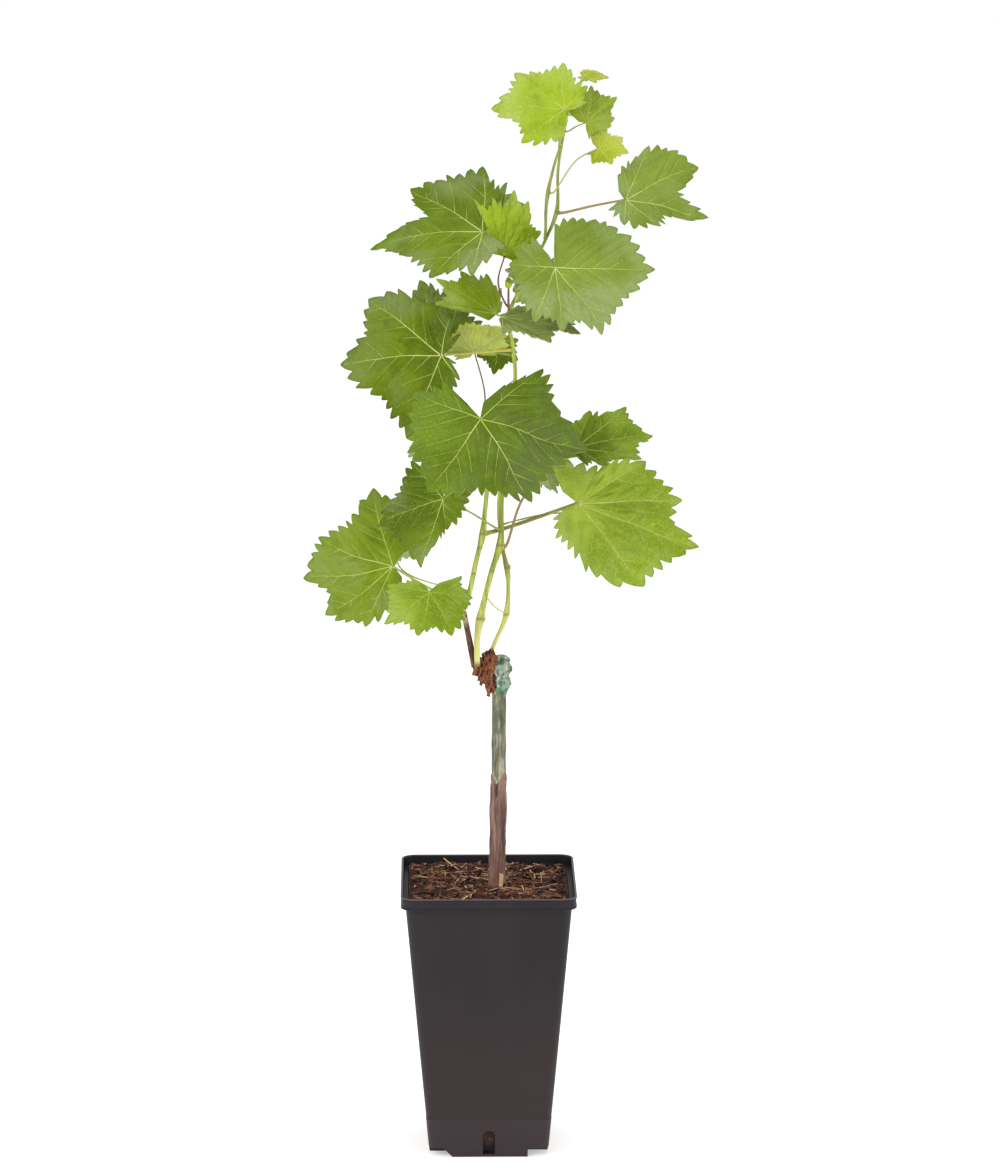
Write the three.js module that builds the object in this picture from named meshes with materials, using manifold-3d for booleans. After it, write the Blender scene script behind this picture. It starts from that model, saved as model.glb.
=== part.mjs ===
// A young grafted grapevine in a tall square nursery pot, as it is sold: a pencil-thick rootstock with a
// waxed scion on it, three green shoots from the scaly head, and large toothed leaves on long stalks.
// Millimetres, +Z up. The origin is the middle of the pot's flat underside and the plant faces -Y.
import * as THREE from 'three';
import { mergeVertices } from 'three/addons/utils/BufferGeometryUtils.js';
import Module from 'manifold-3d';

const wasm = await Module();
wasm.setup();

const GAP = 0.3; // clearance between pieces that touch

// Pot: one moulded shell with a deep rim band, standing on a foot whose corners are cut away
const POT_HEIGHT = 204.5;
const RIM_WIDTH = 130;
const RIM_BAND = 9;
const POT_TOP_WIDTH = 122.6; // body, just under the rim band
const POT_FOOT_WIDTH = 88.6;
const POT_CORNER = 7;
const WALL = 1.5;
const FLOOR = 2;
const SLOT_WIDTH = 9;
const SLOT_TOP = 21;
const FOOT_LIFT = 7; // how far the cut corners stand off the ground
const FOOT_STEEP_EDGE = 29; // half-width of the foot, at its steep end
const FOOT_SLOPE_EDGE = 34; // half-width of the foot at the top of its sloping end
const MIX_TOP = 198;

// Stem
const STEM_BASE = MIX_TOP + GAP;
const STEM_RADIUS = 6;
const STEM_TOP = 350;

const colour = (hex, roughness) => new THREE.MeshStandardMaterial({ color: hex, roughness, metalness: 0 });
const BLACK_PLASTIC = colour(0x2b2a2c, 0.45);
const BARK_MIX = colour(0x5a3a28, 0.95);
const OLD_BARK = colour(0x5e4a42, 0.85);
const GREEN_STEM = colour(0x9aa84a, 0.55);
const REDDISH_STEM = colour(0x7a4a3a, 0.6);
const LEAF_GREEN = colour(0x6f9a2a, 0.6);
const YOUNG_GREEN = colour(0xb4c840, 0.6);

const vine = new THREE.Group();
const radians = THREE.MathUtils.degToRad;
const point = ([x, y, z]) => new THREE.Vector3(x, y, z);

// ---- closed meshes, and their joins and cuts ----

function closedMesh(geometry) {
  geometry.deleteAttribute('normal');
  geometry.deleteAttribute('uv');
  return mergeVertices(geometry, 1e-4);
}

function solid(geometry) {
  const mesh = closedMesh(geometry);
  const vertProperties = new Float32Array(mesh.attributes.position.array);
  const triVerts = new Uint32Array(mesh.index.array);
  return new wasm.Manifold(new wasm.Mesh({ numProp: 3, vertProperties, triVerts }));
}

function geometryOf(manifold) {
  const mesh = manifold.getMesh();
  const geometry = new THREE.BufferGeometry();
  geometry.setAttribute('position', new THREE.BufferAttribute(mesh.vertProperties, 3));
  geometry.setIndex(new THREE.BufferAttribute(mesh.triVerts, 1));
  geometry.computeVertexNormals();
  return geometry;
}

function addPiece(name, manifold, material) {
  const piece = new THREE.Mesh(geometryOf(manifold), material.clone());
  piece.name = name;
  vine.add(piece);
}

// ---- pot and mix ----

// A square block with rounded corners that widens evenly from its bottom to its top
function taperedBlock(bottomWidth, topWidth, z0, z1, corner) {
  const half = bottomWidth / 2;
  const outline = new THREE.Shape();
  outline.absarc(half - corner, half - corner, corner, 0, Math.PI / 2);
  outline.absarc(corner - half, half - corner, corner, Math.PI / 2, Math.PI);
  outline.absarc(corner - half, corner - half, corner, Math.PI, Math.PI * 1.5);
  outline.absarc(half - corner, corner - half, corner, Math.PI * 1.5, Math.PI * 2);
  const options = { depth: z1 - z0, bevelEnabled: false, curveSegments: 3 };
  const geometry = new THREE.ExtrudeGeometry(outline, options);
  const place = geometry.attributes.position;
  for (let i = 0; i < place.count; i += 1) {
    const up = place.getZ(i) / (z1 - z0);
    const widen = 1 + up * (topWidth / bottomWidth - 1);
    place.setXYZ(i, place.getX(i) * widen, place.getY(i) * widen, place.getZ(i) + z0);
  }
  return solid(geometry);
}

const bodyTop = POT_HEIGHT - RIM_BAND;
const bodyWidth = (z) => POT_FOOT_WIDTH + (POT_TOP_WIDTH - POT_FOOT_WIDTH) * (z / bodyTop);

// The drain slot in the middle of one side: round at the top, cut through the wall just above the floor
function drainSlot() {
  const half = SLOT_WIDTH / 2;
  const outline = new THREE.Shape();
  outline.moveTo(-half, FLOOR);
  outline.lineTo(half, FLOOR);
  outline.absarc(0, SLOT_TOP - half, half, 0, Math.PI);
  const geometry = new THREE.ExtrudeGeometry(outline, { depth: 30, bevelEnabled: false, curveSegments: 6 });
  geometry.rotateX(Math.PI / 2).translate(0, -25, 0);
  return solid(geometry);
}

// What is cut off one corner of the foot: steep on one side and sloping on the other
function footCut() {
  const outline = new THREE.Shape();
  outline.moveTo(-60, -1);
  outline.lineTo(FOOT_LIFT - FOOT_SLOPE_EDGE + 1, -1);
  outline.lineTo(-FOOT_SLOPE_EDGE, FOOT_LIFT);
  outline.lineTo(-60, FOOT_LIFT);
  const geometry = new THREE.ExtrudeGeometry(outline, { depth: 31, bevelEnabled: false });
  // the outline's own x and y become the block's y and z
  geometry.applyMatrix4(new THREE.Matrix4().set(0, 0, 1, FOOT_STEEP_EDGE, 1, 0, 0, 0, 0, 1, 0, 0, 0, 0, 0, 1));
  return solid(geometry);
}

function nurseryPot() {
  let pot = taperedBlock(POT_FOOT_WIDTH, POT_TOP_WIDTH, 0, bodyTop, POT_CORNER);
  pot = pot.add(taperedBlock(RIM_WIDTH - 1, RIM_WIDTH, bodyTop - 0.01, POT_HEIGHT, POT_CORNER + 3));
  const liftedFloor = FOOT_LIFT + FLOOR;
  const ledge = bodyTop + WALL; // the step that the rim band stands on
  const floorInside = bodyWidth(liftedFloor) - 2 * WALL;
  const ledgeInside = bodyWidth(ledge) - 2 * WALL;
  const rimInside = RIM_WIDTH - 2 * WALL;
  let inside = taperedBlock(floorInside, ledgeInside, liftedFloor, ledge + 0.01, POT_CORNER - 1);
  inside = inside.add(taperedBlock(rimInside - 1, rimInside, ledge, POT_HEIGHT + 1, POT_CORNER + 2));
  // the floor lies low between the cut corners and high over them
  for (let side = 0; side < 2; side += 1) {
    const wellDepth = bodyWidth(FLOOR) - 2 * WALL - 1;
    const well = new THREE.BoxGeometry(2 * (FOOT_STEEP_EDGE - 6), wellDepth, FOOT_LIFT + 1);
    well.translate(0, 0, FLOOR + (FOOT_LIFT + 1) / 2);
    inside = inside.add(solid(well).rotate([0, 0, side * 90]));
  }
  pot = pot.subtract(inside);
  for (let side = 0; side < 4; side += 1) {
    pot = pot.subtract(drainSlot().rotate([0, 0, side * 90])).subtract(footCut().rotate([0, 0, side * 90]));
  }
  return pot;
}

function pottingMix() {
  const bottom = FOOT_LIFT + FLOOR + GAP;
  const clear = 2 * (WALL + GAP + 0.1);
  return taperedBlock(bodyWidth(bottom) - clear, bodyWidth(MIX_TOP) - clear, bottom, MIX_TOP, POT_CORNER - 1);
}

addPiece('nursery_pot', nurseryPot(), BLACK_PLASTIC);
addPiece('potting_mix', pottingMix(), BARK_MIX);

// ---- stem, head and shoots ----

// A limb along a smooth curve: thick(t) is its radius from its foot, t = 0, to its tip, t = 1
function limb(path, thick, sides, steps, extra = 0) {
  const curve = Array.isArray(path) ? new THREE.CatmullRomCurve3(path.map(point)) : path;
  const frames = curve.computeFrenetFrames(steps, false);
  const geometry = new THREE.CylinderGeometry(1, 1, 1, sides, steps);
  const place = geometry.attributes.position;
  for (let i = 0; i < place.count; i += 1) {
    const t = 0.5 - place.getY(i);
    const step = Math.round(t * steps);
    const radius = thick(t) + extra;
    const across = frames.normals[step].clone().multiplyScalar(place.getX(i) * radius);
    const along = frames.binormals[step].clone().multiplyScalar(place.getZ(i) * radius);
    const middle = curve.getPointAt(step / steps).add(across).add(along);
    place.setXYZ(i, middle.x, middle.y, middle.z);
  }
  const shape = solid(geometry);
  if (shape.volume() > 0) return shape;
  throw new Error('a limb is inside out');
}

function lump(centre, size, turn = 0) {
  const geometry = new THREE.SphereGeometry(1, 10, 6);
  geometry.scale(...size).rotateY(turn).translate(...centre);
  return solid(geometry);
}

// An even taper, swollen for a short way at each of its nodes
const taper = (foot, tip, nodes = [], swelling = 0.3, spread = 0.03) => (t) => {
  const swell = nodes.reduce((sum, node) => sum + Math.exp(-(((t - node) / spread) ** 2)), 0);
  return (foot + (tip - foot) * t) * (1 + swelling * swell);
};

const STEM_PATH = [[6.5, -1.5, STEM_BASE], [7.5, 0, 256], [8, 0, 284], [8, 0, 318], [8.5, 0, STEM_TOP]];
const stemRadius = (t) => {
  const flare = 0.12 * Math.exp(-t * 12);
  const knuckle = 0.13 * Math.exp(-(((t - 0.37) / 0.06) ** 2));
  return STEM_RADIUS * (1 + flare + knuckle - 0.05 * t);
};

function stem(extra = 0) {
  const grow = (size) => size.map((s) => s + extra);
  const wax = lump([10, 0, 360], grow([7.2, 7.4, 14])).add(lump([14.2, -0.5, 363.5], grow([3.8, 4.6, 5])));
  return limb(STEM_PATH, stemRadius, 10, 14, extra).add(wax);
}

// The lumps of the old head, from its top down to where it runs out beside the stem: centre and half sizes
const HEAD_LUMPS = [
  [[1, -2, 370], [6, 5.6, 7]],
  [[-5, -3, 366.5], [5.8, 6, 6.2]],
  [[-1.4, -3, 358.5], [6, 5.8, 6.6]],
  [[1.6, -2.4, 351], [3.8, 5, 5.8]],
];

function head(extra = 0) {
  const lumps = HEAD_LUMPS.map(([centre, size]) => lump(centre, size.map((s) => s + extra)));
  return lumps.reduce((whole, next) => whole.add(next));
}

const SPUR_PATH = [[-10, -2.5, 366], [-14.5, -6, 390], [-18, -9, 409], [-19, -9, 413]];
const spurRadius = taper(2.6, 1.9);

// Each shoot: its path from the head, its foot and tip radius, and the heights of its swollen nodes
const SHOOTS = {
  main: {
    path: [[-8, -9, 366], [-8, -9.5, 390], [-4, -5, 411], [3, 0, 438], [9, 0, 458], [10, 0, 490],
      [14, 1, 540], [20, 2, 580], [18, 1, 606], [15, 1, 626], [24, 1, 648], [42, 1, 683], [50, 0, 704],
      [51, 0, 735], [55, 1, 760], [60, 4, 787]],
    foot: 2.2, tip: 0.8, nodes: [402, 456, 625, 703], steps: 44,
  },
  left: {
    path: [[-17, -9, 412.5], [-13.5, -9, 424], [-9, -10, 446], [-4, -10, 467], [-2.5, -10, 482],
      [0, -8, 510], [2, -4, 546]],
    foot: 2.0, tip: 1.4, nodes: [467], steps: 16,
  },
  thin: {
    path: [[1, 1, 372], [5, 5, 382], [13, 7, 401], [15, 10, 430], [11, 11, 452], [8, 12, 480],
      [10, 12, 505], [13, 12, 528]],
    foot: 1.6, tip: 1.2, nodes: [404, 437], steps: 18,
  },
  lateral: {
    path: [[41.5, 0.5, 683.5], [42, -3, 692], [42, -5, 703], [43.5, -5.5, 718], [48, -6, 738],
      [53.5, -6, 755]],
    foot: 1.1, tip: 0.9, nodes: [718], steps: 8,
  },
};

// How far along a shoot it reaches a given height, from 0 to 1
function atHeight(shoot, height) {
  let [low, high] = [0, 1];
  for (let i = 0; i < 20; i += 1) {
    const middle = (low + high) / 2;
    if (shoot.curve.getPointAt(middle).z < height) low = middle;
    else high = middle;
  }
  return low;
}

for (const shoot of Object.values(SHOOTS)) {
  shoot.curve = new THREE.CatmullRomCurve3(shoot.path.map(point));
  const nodes = shoot.nodes.map((height) => atHeight(shoot, height));
  shoot.radius = taper(shoot.foot, shoot.tip, nodes, 0.3, 1.2 / shoot.steps);
}
const shootLimb = (shoot, extra = 0) => limb(shoot.curve, shoot.radius, 6, shoot.steps, extra);

addPiece('trunk', stem(), OLD_BARK);
addPiece('old_wood_head', head().subtract(stem(GAP)), OLD_BARK);
addPiece('dead_spur', limb(SPUR_PATH, spurRadius, 6, 5).subtract(head(GAP)), OLD_BARK);
addPiece('shoot_main', shootLimb(SHOOTS.main).subtract(head(GAP)), GREEN_STEM);
addPiece('shoot_left', shootLimb(SHOOTS.left).subtract(limb(SPUR_PATH, spurRadius, 6, 5, GAP)), GREEN_STEM);
addPiece('shoot_thin', shootLimb(SHOOTS.thin).subtract(head(GAP)).subtract(stem(GAP)), GREEN_STEM);
addPiece('shoot_lateral', shootLimb(SHOOTS.lateral).subtract(shootLimb(SHOOTS.main, GAP)), GREEN_STEM);

// ---- leaves ----

const TOOTH_DEPTH = 0.12; // of the way from the margin to the junction
const LOBE_CUT = 0.12;
const WIDEST_NOTCH = 172; // the furthest from the midrib that the margin turns in, in degrees
const NOTCH_ROOT = 0.02; // the margin's reach in the middle of the notch, of its reach at the ear
const NOTCH_HOOK = 2.5; // how sharply it turns in there
const EDGE_FALL = 6; // the blade keeps its thickness nearly to the margin
const BLADE_THICKNESS = 0.015; // of the leaf's whole length, more than a hundredth
const RUFFLE = 0.03;
const RUFFLE_WAVES = 5;

// A value that goes from one control point to the next along straight lines, or eased
function between(x, xs, ys, ease) {
  if (x <= xs[0]) return ys[0];
  for (let i = 1; i < xs.length; i += 1) {
    if (x <= xs[i]) {
      const t = (x - xs[i - 1]) / (xs[i] - xs[i - 1]);
      return ys[i - 1] + (ys[i] - ys[i - 1]) * (ease ? t * t * (3 - 2 * t) : t);
    }
  }
  return ys[ys.length - 1];
}

// The blade's own directions: its midrib, the side to the right of it, and the way that its face looks.
// turn swings the face from -Y towards +X, tilt lifts it, and swing turns the midrib from straight down.
function bladeDirections([turn, tilt, swing]) {
  const [t, l, s] = [turn, tilt, swing].map(radians);
  const down = new THREE.Vector3(Math.sin(t) * Math.sin(l), -Math.cos(t) * Math.sin(l), -Math.cos(l));
  const right = new THREE.Vector3(Math.cos(t), Math.sin(t), 0);
  const face = new THREE.Vector3(Math.sin(t) * Math.cos(l), -Math.cos(t) * Math.cos(l), Math.sin(l));
  const midrib = down.clone().multiplyScalar(Math.cos(s)).addScaledVector(right, Math.sin(s));
  const side = down.clone().multiplyScalar(-Math.sin(s)).addScaledVector(right, Math.cos(s));
  return { midrib, side, face };
}

// Five veins fan from the junction: two on the left, the midrib, and two on the right, seen from the face.
// veins are their lengths in that order, fan the angles of the four side ones, and bends how far each one
// has turned away from the face at its tip. An ear is where the margin turns in to the stalk's notch: its
// angle past the last vein, and its share of that vein's length. cut is how far the margin is cut in between
// its lobes, the same all round or in order from the left ear to the right one; less than none is a bulge.
function bladeRule(leaf) {
  const { midrib, side, face } = bladeDirections(leaf.face);
  const [farLeft, left, right, farRight] = leaf.fan;
  const angles = [-farLeft, -left, 0, right, farRight];
  const [leftEar, rightEar] = leaf.ears;
  const notchLeft = -Math.min(farLeft + leftEar[0], WIDEST_NOTCH);
  const notchRight = Math.min(farRight + rightEar[0], WIDEST_NOTCH);
  const rimAngles = [notchLeft, ...angles, notchRight];
  const rimReach = [leaf.veins[0] * leftEar[1], ...leaf.veins, leaf.veins[4] * rightEar[1]];
  const cuts = Array.isArray(leaf.cut) ? leaf.cut : Array(6).fill(leaf.cut ?? LOBE_CUT);
  const length = Math.max(...leaf.veins);

  const reach = (angle) => {
    if (angle < notchLeft || angle > notchRight) {
      const ear = angle < 0 ? rimReach[0] : rimReach[6];
      const notch = angle < 0 ? -notchLeft : notchRight;
      const inwards = (Math.abs(angle) - notch) / (180 - notch);
      return ear * (NOTCH_ROOT + (1 - NOTCH_ROOT) * (1 - inwards) ** NOTCH_HOOK);
    }
    let hollow = 0;
    for (let i = 1; i < rimAngles.length; i += 1) {
      const t = (angle - rimAngles[i - 1]) / (rimAngles[i] - rimAngles[i - 1]);
      if (t >= 0 && t <= 1) hollow = cuts[i - 1] * Math.sin(Math.PI * t) ** 2;
    }
    return between(angle, rimAngles, rimReach, false) * (1 - hollow);
  };

  const place = (angle, distance, lift) => {
    const bend = radians(between(angle, angles, leaf.bends, true)) / length;
    const curl = Math.abs(bend * distance) > 1e-6;
    const out = curl ? Math.sin(bend * distance) / bend : distance;
    const drop = curl ? (1 - Math.cos(bend * distance)) / bend : 0;
    const wave = RUFFLE * length * (distance / length) ** 2 * Math.sin(RUFFLE_WAVES * radians(angle));
    return point(leaf.junction)
      .addScaledVector(midrib, out * Math.cos(radians(angle)))
      .addScaledVector(side, out * Math.sin(radians(angle)))
      .addScaledVector(face, lift + wave - drop);
  };
  return { reach, place, notchLeft, notchRight, length };
}

// The blade: a ball flattened to a thin sheet, its poles at the junction and its equator round the margin,
// where every second column is the point of a tooth
function blade(leaf) {
  const rule = bladeRule(leaf);
  const rim = [-180];
  const notchSteps = 2;
  for (let i = 1; i < notchSteps; i += 1) rim.push(-180 + (i * (rule.notchLeft + 180)) / notchSteps);
  const toothColumns = leaf.teeth * 2;
  for (let i = 0; i <= toothColumns; i += 1) {
    rim.push(rule.notchLeft + (i * (rule.notchRight - rule.notchLeft)) / toothColumns);
  }
  const lastStep = (180 - rule.notchRight) / notchSteps;
  for (let i = 1; i <= notchSteps; i += 1) rim.push(rule.notchRight + i * lastStep);
  const columns = rim.length - 1;
  const rings = leaf.rings;
  const sheet = new THREE.SphereGeometry(1, columns, 2 * rings);
  const spot = sheet.attributes.position;
  const thickness = BLADE_THICKNESS * rule.length * 1.4;
  for (let ring = 0; ring <= 2 * rings; ring += 1) {
    const outwards = (ring <= rings ? ring : 2 * rings - ring) / rings;
    const lift = (Math.sign(rings - ring) * thickness * Math.sqrt(1 - outwards ** EDGE_FALL)) / 2;
    for (let column = 0; column <= columns; column += 1) {
      const tooth = column - notchSteps;
      const notched = tooth >= 0 && tooth <= toothColumns && tooth % 2 === 1;
      const angle = rim[column % columns]; // the last column closes on the first
      const distance = rule.reach(angle) * (1 - (notched ? TOOTH_DEPTH : 0) * outwards ** 4) * outwards;
      const at = rule.place(angle, distance, lift);
      spot.setXYZ(ring * (columns + 1) + column, at.x, at.y, at.z);
    }
  }
  return solid(sheet);
}

// The leaf's stalk: it leaves its shoot square on, 0.3 mm clear of it, and ends inside the blade
function stalk(leaf, shoot) {
  const from = atHeight(shoot, leaf.from);
  const foot = shoot.curve.getPointAt(from);
  const tangent = shoot.curve.getTangentAt(from);
  const way = leaf.bow ? point(leaf.bow) : foot.clone().lerp(point(leaf.junction), 0.5);
  const outwards = way.clone().sub(foot);
  outwards.addScaledVector(tangent, -outwards.dot(tangent)).normalize();
  const clear = shoot.radius(from) + GAP + 0.1;
  const start = foot.clone().addScaledVector(outwards, clear);
  const stub = foot.clone().addScaledVector(outwards, clear + 2.5).addScaledVector(tangent, 0.4);
  const reach = Math.max(...leaf.veins);
  const thick = THREE.MathUtils.clamp(reach * 0.019, 0.6, 1.45);
  const curve = new THREE.CatmullRomCurve3([start, stub, way, point(leaf.junction)], false, 'centripetal');
  const steps = THREE.MathUtils.clamp(Math.round(curve.getLength() / 14), 3, 6);
  return limb(curve, taper(thick * 1.15, thick * 0.85), 5, steps);
}

const BIG = { teeth: 22, rings: 3 };
const MIDDLING = { teeth: 17, rings: 3 };
const SMALL = { teeth: 12, rings: 2 };
const SLIGHT_BENDS = [10, 10, 10, 10, 10];
const SMALL_EARS = [[28, 0.72], [28, 0.72]];

function addLeaf(name, shootName, leaf, material = LEAF_GREEN) {
  const whole = { bends: SLIGHT_BENDS, ears: SMALL_EARS, ...leaf };
  addPiece(`leaf_${name}`, blade(whole).add(stalk(whole, SHOOTS[shootName])), material);
}

// front of the plant, from the bottom up
addLeaf('low_front', 'left', { ...MIDDLING, from: 420, junction: [-43, -55, 433], face: [0, 50, -12],
  veins: [32, 42, 39, 40, 32], fan: [95, 38, 38, 95], bends: [10, 15, 10, 15, 10],
  ears: [[25, 0.6], [38, 0.97]], cut: [0.1, 0.12, 0.15, 0.05, 0.1, 0.12] });
addLeaf('low_left', 'left', { ...BIG, from: 415, junction: [-70, -15, 444], face: [-20, 10, -77],
  veins: [60, 62, 74, 70, 50], fan: [82, 26, 28, 52], ears: [[40, 0.7], [45, 0.6]], bow: [-43, -13, 427],
  cut: [0.05, 0.18, 0, 0.14, 0, 0.1] });
addLeaf('left_inner', 'main', { ...MIDDLING, from: 469, junction: [-33, -35, 498], face: [-20, 25, -14],
  veins: [40, 54, 54, 24, 26], fan: [118, 55, 20, 145], bends: [10, 10, 10, 90, 40],
  ears: [[30, 0.7], [15, 0.7]], bow: [-14, -27, 487] });
addLeaf('right', 'left', { ...BIG, from: 467, junction: [66, -10, 490], face: [15, 5, 88],
  veins: [84, 99, 88, 68, 32], fan: [50, 22, 30, 62], bends: [10, 10, 30, 40, 40],
  ears: [[98, 0.28], [66, 1.15]], bow: [16, 12, 468], cut: [0.25, 0.06, 0.12, 0, 0, 0] });
addLeaf('right_folded', 'main', { ...MIDDLING, from: 456, junction: [63, -26, 534], face: [10, 60, 106],
  veins: [30, 52, 67, 56, 42], fan: [60, 30, 24, 50], bends: [10, 10, 10, -20, -20], bow: [26, -4, 493] });
addLeaf('centre', 'left', { ...BIG, from: 537, junction: [-6, -70, 563], face: [0, 35, 30],
  veins: [54, 66, 70, 82, 60], fan: [148, 64, 45, 105], bends: [10, 20, 20, 15, 10],
  ears: [[24, 0.75], [14, 0.6]], cut: [0.05, 0.08, 0.08, 0.1, 0.12, 0.05] });
addLeaf('left', 'main', { ...BIG, from: 602, junction: [-34, -30, 603], face: [-20, 15, -84],
  veins: [32, 90, 82, 66, 24], fan: [100, 37, 64, 125], bends: [60, 40, 15, 15, 10],
  ears: [[36, 0.7], [26, 0.7]], cut: 0.17 });
addLeaf('mid_under', 'left', { ...SMALL, from: 544.5, junction: [-10, 2, 601], face: [180, 30, 155],
  veins: [22, 26, 30, 34, 26], fan: [70, 30, 70, 100], bow: [-2.5, -2, 572] }, YOUNG_GREEN);
addLeaf('mid_level', 'main', { ...MIDDLING, from: 620, junction: [10, -37, 632], face: [0, 74, 76],
  veins: [26, 50, 58, 48, 28], fan: [75, 32, 36, 80], ears: [[10, 0.4], [8, 0.4]] });
addLeaf('mid_upright', 'main', { ...MIDDLING, from: 625, junction: [6, 9, 627], face: [0, 15, -142],
  veins: [20, 32, 44, 52, 46], fan: [50, 26, 22, 43], ears: [[15, 0.5], [10, 0.4]] });
addLeaf('mid_hanging', 'main', { ...SMALL, from: 608, junction: [8, 24, 604], face: [0, 10, -5],
  veins: [16, 20, 24, 20, 16], fan: [100, 50, 50, 100] });
addLeaf('high_centre', 'main', { ...BIG, from: 663, junction: [48, -50, 670], face: [5, 25, 4],
  veins: [32, 43, 48, 61, 67], fan: [99, 26, 31, 83], ears: [[52, 0.86], [88, 0.52]],
  cut: [-0.1, 0.05, 0.08, 0.12, 0.12, -0.08] });
addLeaf('high_left', 'main', { ...BIG, from: 669, junction: [-4, -15, 691], face: [-10, 45, -88],
  veins: [60, 76, 84, 50, 37], fan: [85, 38, 46, 84], bends: [10, 10, 20, 20, 10],
  ears: [[22, 0.8], [60, 0.7]], cut: [0.12, 0.12, 0.38, 0.14, 0.08, 0.12], bow: [12, -6, 672] });
addLeaf('high_bright', 'main', { ...MIDDLING, from: 633, junction: [12, -12, 673], face: [12, 3, 174],
  veins: [33, 43, 47, 43, 47], fan: [50, 20, 20, 34], bends: [10, 10, 10, 0, -10],
  ears: [[30, 0.7], [4, 0.55]],
  bow: [7.5, -4, 652] }, YOUNG_GREEN);
addLeaf('high_right', 'main', { ...MIDDLING, from: 703, junction: [100, -5, 713], face: [10, 10, 77],
  veins: [18, 33, 66, 63, 42], fan: [80, 27, 37, 78], bends: [10, 20, 10, 10, 10],
  ears: [[60, 0.8], [44, 0.5]], cut: [0, 0, 0.3, 0.28, 0, 0.1],
  bow: [76, -2, 708] });
addLeaf('top_young', 'lateral', { ...SMALL, from: 718, junction: [80, -10, 751], face: [0, 50, 80],
  veins: [16, 17, 22, 21, 21], fan: [100, 45, 45, 95], bow: [64, -8, 742] }, YOUNG_GREEN);
addLeaf('top_left', 'lateral', { ...MIDDLING, from: 753, junction: [55, -25, 781], face: [-10, 25, -127],
  veins: [24, 36, 48, 54, 40], fan: [95, 45, 36, 78], ears: [[30, 0.7], [48, 0.62]],
  cut: [0.05, 0.15, 0.1, 0.1, 0.15, 0.05] }, YOUNG_GREEN);
addLeaf('top_right', 'main', { ...SMALL, from: 762, junction: [72, 5, 768], face: [10, 15, 128],
  veins: [18, 22, 30, 28, 24], fan: [95, 30, 40, 80] }, YOUNG_GREEN);
addLeaf('tip', 'main', { ...SMALL, from: 784, junction: [70, 8, 802], face: [0, 70, 85],
  veins: [10, 14, 18, 14, 10], fan: [100, 50, 50, 100] }, YOUNG_GREEN);

// back of the plant, from the bottom up
addLeaf('rear_low_left', 'left', { ...SMALL, from: 422, junction: [-68, 40, 466], face: [165, 25, 20],
  veins: [32, 38, 42, 38, 32], fan: [105, 52, 52, 105], bow: [-64, 10, 437] });
addLeaf('rear_low_right', 'main', { ...SMALL, from: 472, junction: [88, 38, 474], face: [200, 20, -30],
  veins: [32, 40, 44, 40, 32], fan: [105, 52, 52, 105], bow: [45, 26, 475] });
addLeaf('rear_low', 'thin', { ...SMALL, from: 520, junction: [33, 32, 521], face: [150, 20, -25],
  veins: [26, 32, 36, 32, 26], fan: [105, 52, 52, 105] });
addLeaf('rear_centre', 'thin', { ...SMALL, from: 526, junction: [-26, 55, 533], face: [195, 30, 5],
  veins: [32, 38, 42, 38, 32], fan: [105, 52, 52, 105], bow: [0, 36, 534] });
addLeaf('rear_left', 'main', { ...SMALL, from: 598, junction: [-31, 24, 602], face: [-12, 20, -152],
  veins: [34, 44, 54, 48, 40], fan: [85, 45, 45, 90] });
addLeaf('rear_right', 'main', { ...SMALL, from: 640, junction: [42, 32, 655], face: [165, 25, -10],
  veins: [30, 36, 40, 36, 30], fan: [105, 52, 52, 105] });
addLeaf('rear_high_left', 'main', { ...SMALL, from: 677, junction: [0, 48, 704], face: [190, 30, 15],
  veins: [28, 34, 38, 34, 28], fan: [105, 52, 52, 105], bow: [28, 26, 688] });
addLeaf('rear_top', 'main', { ...SMALL, from: 745, junction: [52, 34, 782], face: [185, 35, 0],
  veins: [18, 22, 25, 22, 18], fan: [105, 52, 52, 105] }, YOUNG_GREEN);

// ---- tendril and side bud ----

const TENDRIL_PATH = [[0, -6, 417.5], [4, -6, 412.5], [8, -2, 408.5], [11.2, 3.4, 405.5]];
const BUD_PATH = [[15.5, 0, 628], [15, -3.5, 637], [15, -4, 649]];

const tendril = limb(TENDRIL_PATH, taper(0.6, 0.4), 5, 6)
  .subtract(shootLimb(SHOOTS.main, GAP))
  .subtract(shootLimb(SHOOTS.thin, GAP));
addPiece('tendril', tendril, GREEN_STEM);
const budStalk = limb(BUD_PATH, taper(1, 0.7), 6, 4).subtract(shootLimb(SHOOTS.main, GAP));
addPiece('side_bud', budStalk.add(lump([15, -4, 652], [2.8, 2.8, 4.2])), REDDISH_STEM);

export default vine;
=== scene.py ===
import math
import random

import bmesh
import bpy
from mathutils import Euler, Matrix, Vector, noise
from mathutils.bvhtree import BVHTree


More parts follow.
